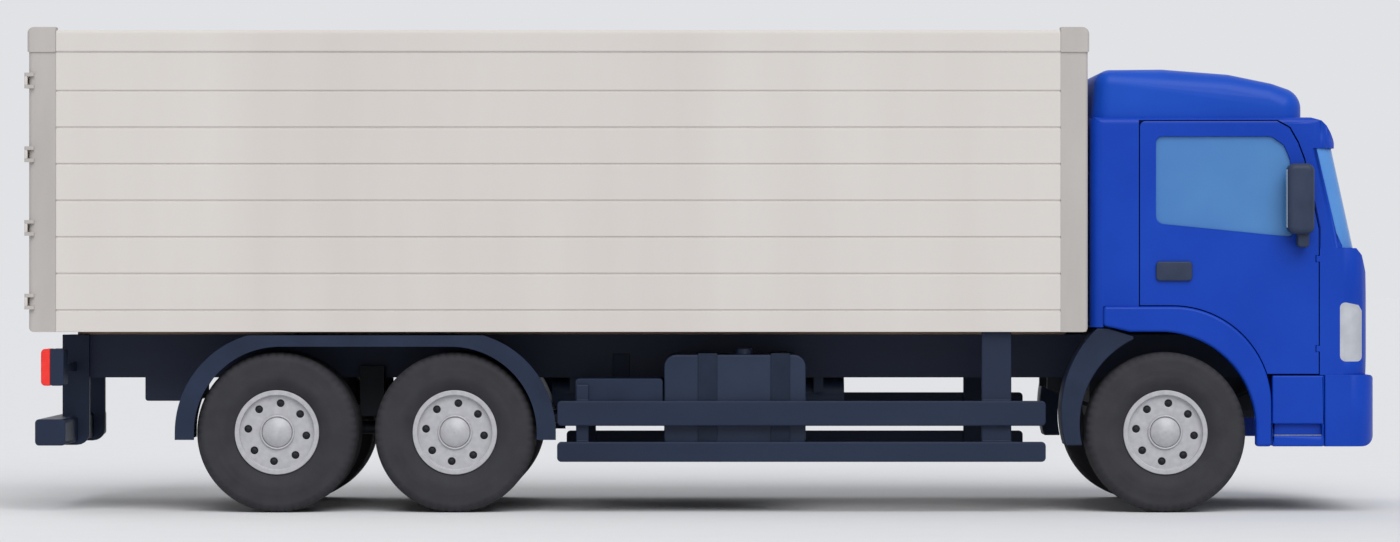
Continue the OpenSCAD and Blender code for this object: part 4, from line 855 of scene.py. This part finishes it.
# Plates and post of a pedestal: rear, front, half width, foot, head, edge radius
SEAT_STAND = (
    (3.455, 3.795, 0.20, 1.360, 1.400, 0.012),
    (3.50, 3.75, 0.15, 1.398, 1.540, 0.02),
    (3.42, 3.86, 0.22, 1.538, 1.566, 0.012),
)


def soft_block(low, high, radius, corner=None, spans=(1, 1, 1)):
    """A block with round edges, as a grid of points: a rectangle across x and z, its corners rounded to
    corner, is carried along y, drawn in over the last radius at each end by a quarter circle, and closed by
    flat ends. spans is the number of cells along the straight stretches in x, y and z."""
    low, high = np.array(low, float), np.array(high, float)
    corner = radius if corner is None else corner
    half, mid = (high - low) / 2, (high + low) / 2
    quarter = np.linspace(0, np.pi / 2, EDGE_POINTS)
    inner = half - np.array([corner, radius, corner])
    ring = []
    for turn_by, (sx, sz), cells in ((0, (1, 1), spans[0]), (1, (-1, 1), spans[2]), (2, (-1, -1), spans[0]),
                                     (3, (1, -1), spans[2])):
        angle = quarter + turn_by * np.pi / 2
        ring.append(np.stack([np.full(EDGE_POINTS, sx * inner[0]), np.full(EDGE_POINTS, sz * inner[2]),
                              np.cos(angle), np.sin(angle)], 1))
        share = np.linspace(0, 1, cells + 1)[1:-1, None]
        start = ring[-1][-1]
        stop = start * np.array([-1, 1, 1, 1] if turn_by % 2 == 0 else [1, -1, 1, 1])
        ring.append(start + (stop - start) * share)
    ring = np.concatenate(ring)
    ends = np.concatenate([np.stack([-inner[1] - radius * np.sin(quarter[::-1]), np.cos(quarter[::-1])], 1),
                           np.stack([np.linspace(-inner[1], inner[1], spans[1] + 1)[1:-1],
                                     np.ones(spans[1] - 1)], 1),
                           np.stack([inner[1] + radius * np.sin(quarter), np.cos(quarter)], 1)])
    out = corner - radius * (1 - ends[:, None, 1])
    x = ring[None, :, 0] + out * ring[None, :, 2]
    z = ring[None, :, 1] + out * ring[None, :, 3]
    y = np.broadcast_to(ends[:, None, 0], x.shape)
    walls = np.stack([x, y, z], -1)
    centre = np.stack([0 * x[[0, -1]], y[[0, -1]], 0 * x[[0, -1]]], -1)
    return np.concatenate([centre[:1], walls, centre[1:]]) + mid


def cushion(size, radius, crown, channels, lean, place):
    """A pad of foam: a soft block with its thickness in z, whose upper face is raised by crown times a
    cosine along and across, drawn in at sewn channels across it, then leant back and set in place."""
    half = np.array(size) / 2
    points = soft_block(-half, half, radius, spans=PAD_CELLS)
    x, y, z = np.moveaxis(points, -1, 0)
    upper = np.clip(z / half[2], 0, 1)
    along, across = (np.cos(np.pi / 2 * np.clip(way, -1, 1)) for way in (x / half[0], y / half[1]))
    sewn = sum((np.exp(-((x - c) / CHANNEL_HALF) ** 2) for c in channels), 0 * x)
    z = z + upper * (crown * along * across - CHANNEL_DEPTH * sewn)
    turn_back = math.radians(lean)
    return np.stack([x * math.cos(turn_back) - z * math.sin(turn_back), y,
                     x * math.sin(turn_back) + z * math.cos(turn_back)], -1) + np.array(place)


def woven_cover():
    """Woven seat cloth: slate grey, with a fleck 25 mm long and threads drawn at 8 mm so that they show."""
    made, tree = new_material("woven_cover")
    colour, fac = mottle(tree, 25, "#333844", "#454b5a", (1, 2, 1))
    surface(tree, {"Sheen Weight": 0.3}, {"Base Color": colour, "Roughness": uneven(tree, fac, 0.8, 0.95),
                                          "Normal": relief(tree, 8, 0.7)})
    return made


cloth = woven_cover()
for side, sign in SIDES.items():
    for pad_name, size, edge, crown, channels, lean, along, height in SEAT_PADS:
        place = (along, sign * SEAT_Y, height)
        pad = joined(f"seat_{pad_name}_{side}", [cushion(size, edge, crown, channels, lean, place)], cloth)
        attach(pad, "cab")
    stand = joined(f"seat_stand_{side}",
                   [soft_block((rear, sign * SEAT_Y - half, foot), (front, sign * SEAT_Y + half, head), edge)
                    for rear, front, half, foot, head, edge in SEAT_STAND], iron)
    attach(stand, "cab")
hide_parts("seats")


# Grille net: a thin dark plate clipped in behind the slats, as painted shade for the hollow behind the
# grille. It is drawn as a black net whose openings are painted shade.
NET_BACK, NET_THICK = 0.001, 0.006
NET_EDGE, NET_ROUND = 0.002, 0.002


def painted_shade_net():
    """A plate drawn as a black, dull net: bars 30 mm apart both ways, with near-black painted shade for the
    openings between them.
    """
    made, tree = new_material("painted_shade_net")
    bars = node(tree, "ShaderNodeMath", {"operation": "MAXIMUM"},
                {0: ribs(tree, "Y", 30), 1: ribs(tree, "Z", 30)})
    tone = node(tree, "ShaderNodeValToRGB", None, {"Fac": bars.outputs[0]})
    # The openings are painted shade: near black, where the hollow behind the grille would show through.
    painted_opening_shade, bar = tone.color_ramp.elements
    painted_opening_shade.position, bar.position = 0.80, 0.92
    painted_opening_shade.color, bar.color = linear("#0b0d12"), linear("#1f242f")
    bump = node(tree, "ShaderNodeBump", {"Strength": 0.7, "Distance": 0.003}, {"Height": bars.outputs[0]})
    surface(tree, {"IOR": 1.53, "Roughness": 0.7}, {"Base Color": tone.outputs["Color"],
                                                    "Normal": bump.outputs["Normal"]})
    return made


low, high = corners("grille")
# A thin plate behind the slats that stands in for the shaded hollow of the grille.
net = joined("grille_painted_shade_net",
             [soft_block((low[0] + NET_BACK, low[1] + NET_EDGE, low[2] + NET_EDGE),
                         (low[0] + NET_BACK + NET_THICK, high[1] - NET_EDGE, high[2] - NET_EDGE), NET_ROUND)],
             painted_shade_net())
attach(net, "cab")


# Brow seam: a bead of sealer, laid by gun in the joint between the roof panel and the brow and sprayed with
# the cab.
SEAM_AHEAD = (0.148, 0.159)
SEAM_DROPS = (0.082, 0.056)
SEAM_END, SEAM_ROUND = 0.085, 0.003
low, high = corners("cab_roof")
fairing_front = corners("roof_fairing")[1][0]
bead = joined("brow_seam",
              [soft_block((fairing_front + SEAM_AHEAD[0], low[1] + SEAM_END, high[2] - SEAM_DROPS[0]),
                          (fairing_front + SEAM_AHEAD[1], high[1] - SEAM_END, high[2] - SEAM_DROPS[1]),
                          SEAM_ROUND)], lacquer)
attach(bead, "cab")


# Dashboard: one grained moulding across the cab, screwed to the front panel, with the steering column and
# wheel on the left.
dress(["dashboard"], plastic, edge_mm=8)


# Step treads: a ribbed aluminium plate on the floor of each entry step, riveted through, with the step's
# lining behind it, pressed and sprayed with the cab.
STEP_EDGE = 0.015
STEP_HEIGHTS = (0.075, 0.157)
LINING_DEPTHS, LINING_ROUND = (0.045, 0.053), 0.003
TREAD_THICK, TREAD_ROUND = 0.006, 0.002


def ribbed_aluminium():
    """Rolled tread plate: bare aluminium, dull from boots, with ribs 24 mm apart across the step."""
    made, tree = new_material("ribbed_aluminium")
    colour, fac = mottle(tree, 50, "#8f939a", "#a4a8af")
    bump = node(tree, "ShaderNodeBump", {"Strength": 0.8, "Distance": 0.003}, {"Height": ribs(tree, "X", 24)})
    surface(tree, {"Metallic": 0.7}, {"Base Color": colour, "Roughness": uneven(tree, fac, 0.4, 0.6),
                                      "Normal": bump.outputs["Normal"]})
    return made


tread_plate = ribbed_aluminium()
low, high = corners("entry_steps")
rear, front = low[0] + STEP_EDGE, high[0] - STEP_EDGE
foot, head = (low[2] + height for height in STEP_HEIGHTS)
for side, sign in SIDES.items():
    lining_y = sorted(sign * (high[1] - depth) for depth in LINING_DEPTHS)
    tread_y = sorted(sign * (high[1] - depth) for depth in (STEP_EDGE, LINING_DEPTHS[0]))
    lining = joined(f"step_lining_{side}",
                    [soft_block((rear, lining_y[0], foot), (front, lining_y[1], head), LINING_ROUND)],
                    lacquer)
    tread = joined(f"step_tread_{side}",
                   [soft_block((rear, tread_y[0], foot), (front, tread_y[1], foot + TREAD_THICK),
                               TREAD_ROUND)], tread_plate)
    for piece in (lining, tread):
        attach(piece, "cab")


# Cab doors: pressed steel skins on two hinges, sprayed with the cab. A sponge rubber seal on the cab's
# rear pillar and over the arch closes the gap behind each door.
SEAL_DEPTHS = (0.0705, 0.0815)
SEAL_BEHIND, SEAL_AHEAD = 0.038, 0.032
SEAL_FOOT, SEAL_HEAD = 0.500, 0.110
SEAL_ROUND = 0.004
ARCH_SEAL_AHEAD, ARCH_SEAL_FOOT, ARCH_SEAL_HEAD = 0.330, 0.440, 0.530


def seal_rubber():
    """Sponge rubber: near black, dull, with fine pores drawn at 5 mm so that they show."""
    made, tree = new_material("seal_rubber")
    colour, fac = mottle(tree, 40, "#14161b", "#1c1f26")
    surface(tree, {"IOR": 1.52}, {"Base Color": colour, "Roughness": uneven(tree, fac, 0.8, 0.95),
                                  "Normal": relief(tree, 5, 0.3)})
    return made


dress(["door_left", "door_right"], lacquer, edge_mm=10)
sponge = seal_rubber()
for side, sign in SIDES.items():
    low, high = corners(f"door_{side}")
    skin = max(abs(low[1]), abs(high[1]))
    seal_y = sorted(sign * (skin - depth) for depth in SEAL_DEPTHS)
    seal = joined(f"door_seal_{side}",
                  [soft_block((low[0] - SEAL_BEHIND, seal_y[0], low[2] + SEAL_FOOT),
                              (low[0] + SEAL_AHEAD, seal_y[1], high[2] - SEAL_HEAD), SEAL_ROUND),
                   soft_block((low[0] - SEAL_BEHIND, seal_y[0], low[2] + ARCH_SEAL_FOOT),
                              (low[0] + ARCH_SEAL_AHEAD, seal_y[1], low[2] + ARCH_SEAL_HEAD), SEAL_ROUND)],
                  sponge)
    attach(seal, "cab")


# Mirrors and handles: moulded shells on a short arm from the door, with a silvered glass on the rear face,
# and a flat grip let into the skin. They stand for the plain solids of their nodes.
MIRROR_SIZE = (0.192, 0.145, 0.494)
MIRROR_EDGES = (0.042, 0.055)
BRACKET_AHEAD = (-0.114, -0.032)
BRACKET_REACH = 0.130
BRACKET_DROP, BRACKET_OVERLAP = 0.093, 0.030
BRACKET_EDGES = (0.016, 0.024)
PANE_PROUD, PANE_SUNK = 0.003, 0.004
PANE_INSET_Y, PANE_INSET_Z = 0.032, 0.045
PANE_EDGES = (0.002, 0.003)
HANDLE_SIZE = (0.255, 0.024, 0.137)
HANDLE_EDGES = (0.011, 0.028)


def mirror_shell():
    """Moulded ABS shell: slate blue, satin, with a fine grain."""
    made, tree = new_material("mirror_shell")
    colour, fac = mottle(tree, 200, "#2c364b", "#343e55")
    surface(tree, {"IOR": 1.5}, {"Base Color": colour, "Roughness": uneven(tree, fac, 0.4, 0.5),
                                 "Normal": relief(tree, 10, 0.15)})
    return made


def silvered_glass():
    """Silvered mirror glass: bright and sharp, with a faint haze."""
    made, tree = new_material("silvered_glass")
    colour, fac = mottle(tree, 300, "#b9c0c8", "#c9d0d8")
    surface(tree, {"Metallic": 1.0}, {"Base Color": colour, "Roughness": uneven(tree, fac, 0.04, 0.09)})
    return made


def out_from_skin(low, high, sign, start, stop):
    """Two distances over a door's skin, as places across the truck with the lower one first."""
    skin = min(abs(low[1]), abs(high[1]))
    return sorted((sign * (skin + start), sign * (skin + stop)))


shell = mirror_shell()
silvering = silvered_glass()
for side, sign in SIDES.items():
    low, high = corners(f"door_fittings_{side}")
    reach = abs(high[1] - low[1])
    head_x = (high[0] - MIRROR_SIZE[0], high[0])
    head_y = out_from_skin(low, high, sign, reach - MIRROR_SIZE[1], reach)
    head_z = (high[2] - MIRROR_SIZE[2], high[2])
    arm_y = out_from_skin(low, high, sign, 0, BRACKET_REACH)
    grip_y = out_from_skin(low, high, sign, 0, HANDLE_SIZE[1])
    head = soft_block((head_x[0], head_y[0], head_z[0]), (head_x[1], head_y[1], head_z[1]), *MIRROR_EDGES)
    arm = soft_block((high[0] + BRACKET_AHEAD[0], arm_y[0], head_z[0] - BRACKET_DROP),
                     (high[0] + BRACKET_AHEAD[1], arm_y[1], head_z[0] + BRACKET_OVERLAP), *BRACKET_EDGES)
    grip = soft_block((low[0], grip_y[0], low[2]),
                      (low[0] + HANDLE_SIZE[0], grip_y[1], low[2] + HANDLE_SIZE[2]), *HANDLE_EDGES)
    fitting = joined(f"door_fittings_{side}_shell", [head, arm, grip], shell)
    pane = joined(f"mirror_glass_{side}",
                  [soft_block((head_x[0] - PANE_PROUD, head_y[0] + PANE_INSET_Y, head_z[0] + PANE_INSET_Z),
                              (head_x[0] + PANE_SUNK, head_y[1] - PANE_INSET_Y, head_z[1] - PANE_INSET_Z),
                              *PANE_EDGES)], silvering)
    for piece in (fitting, pane):
        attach(piece, f"{side}_cab_door")
    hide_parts(f"door_fittings_{side}")
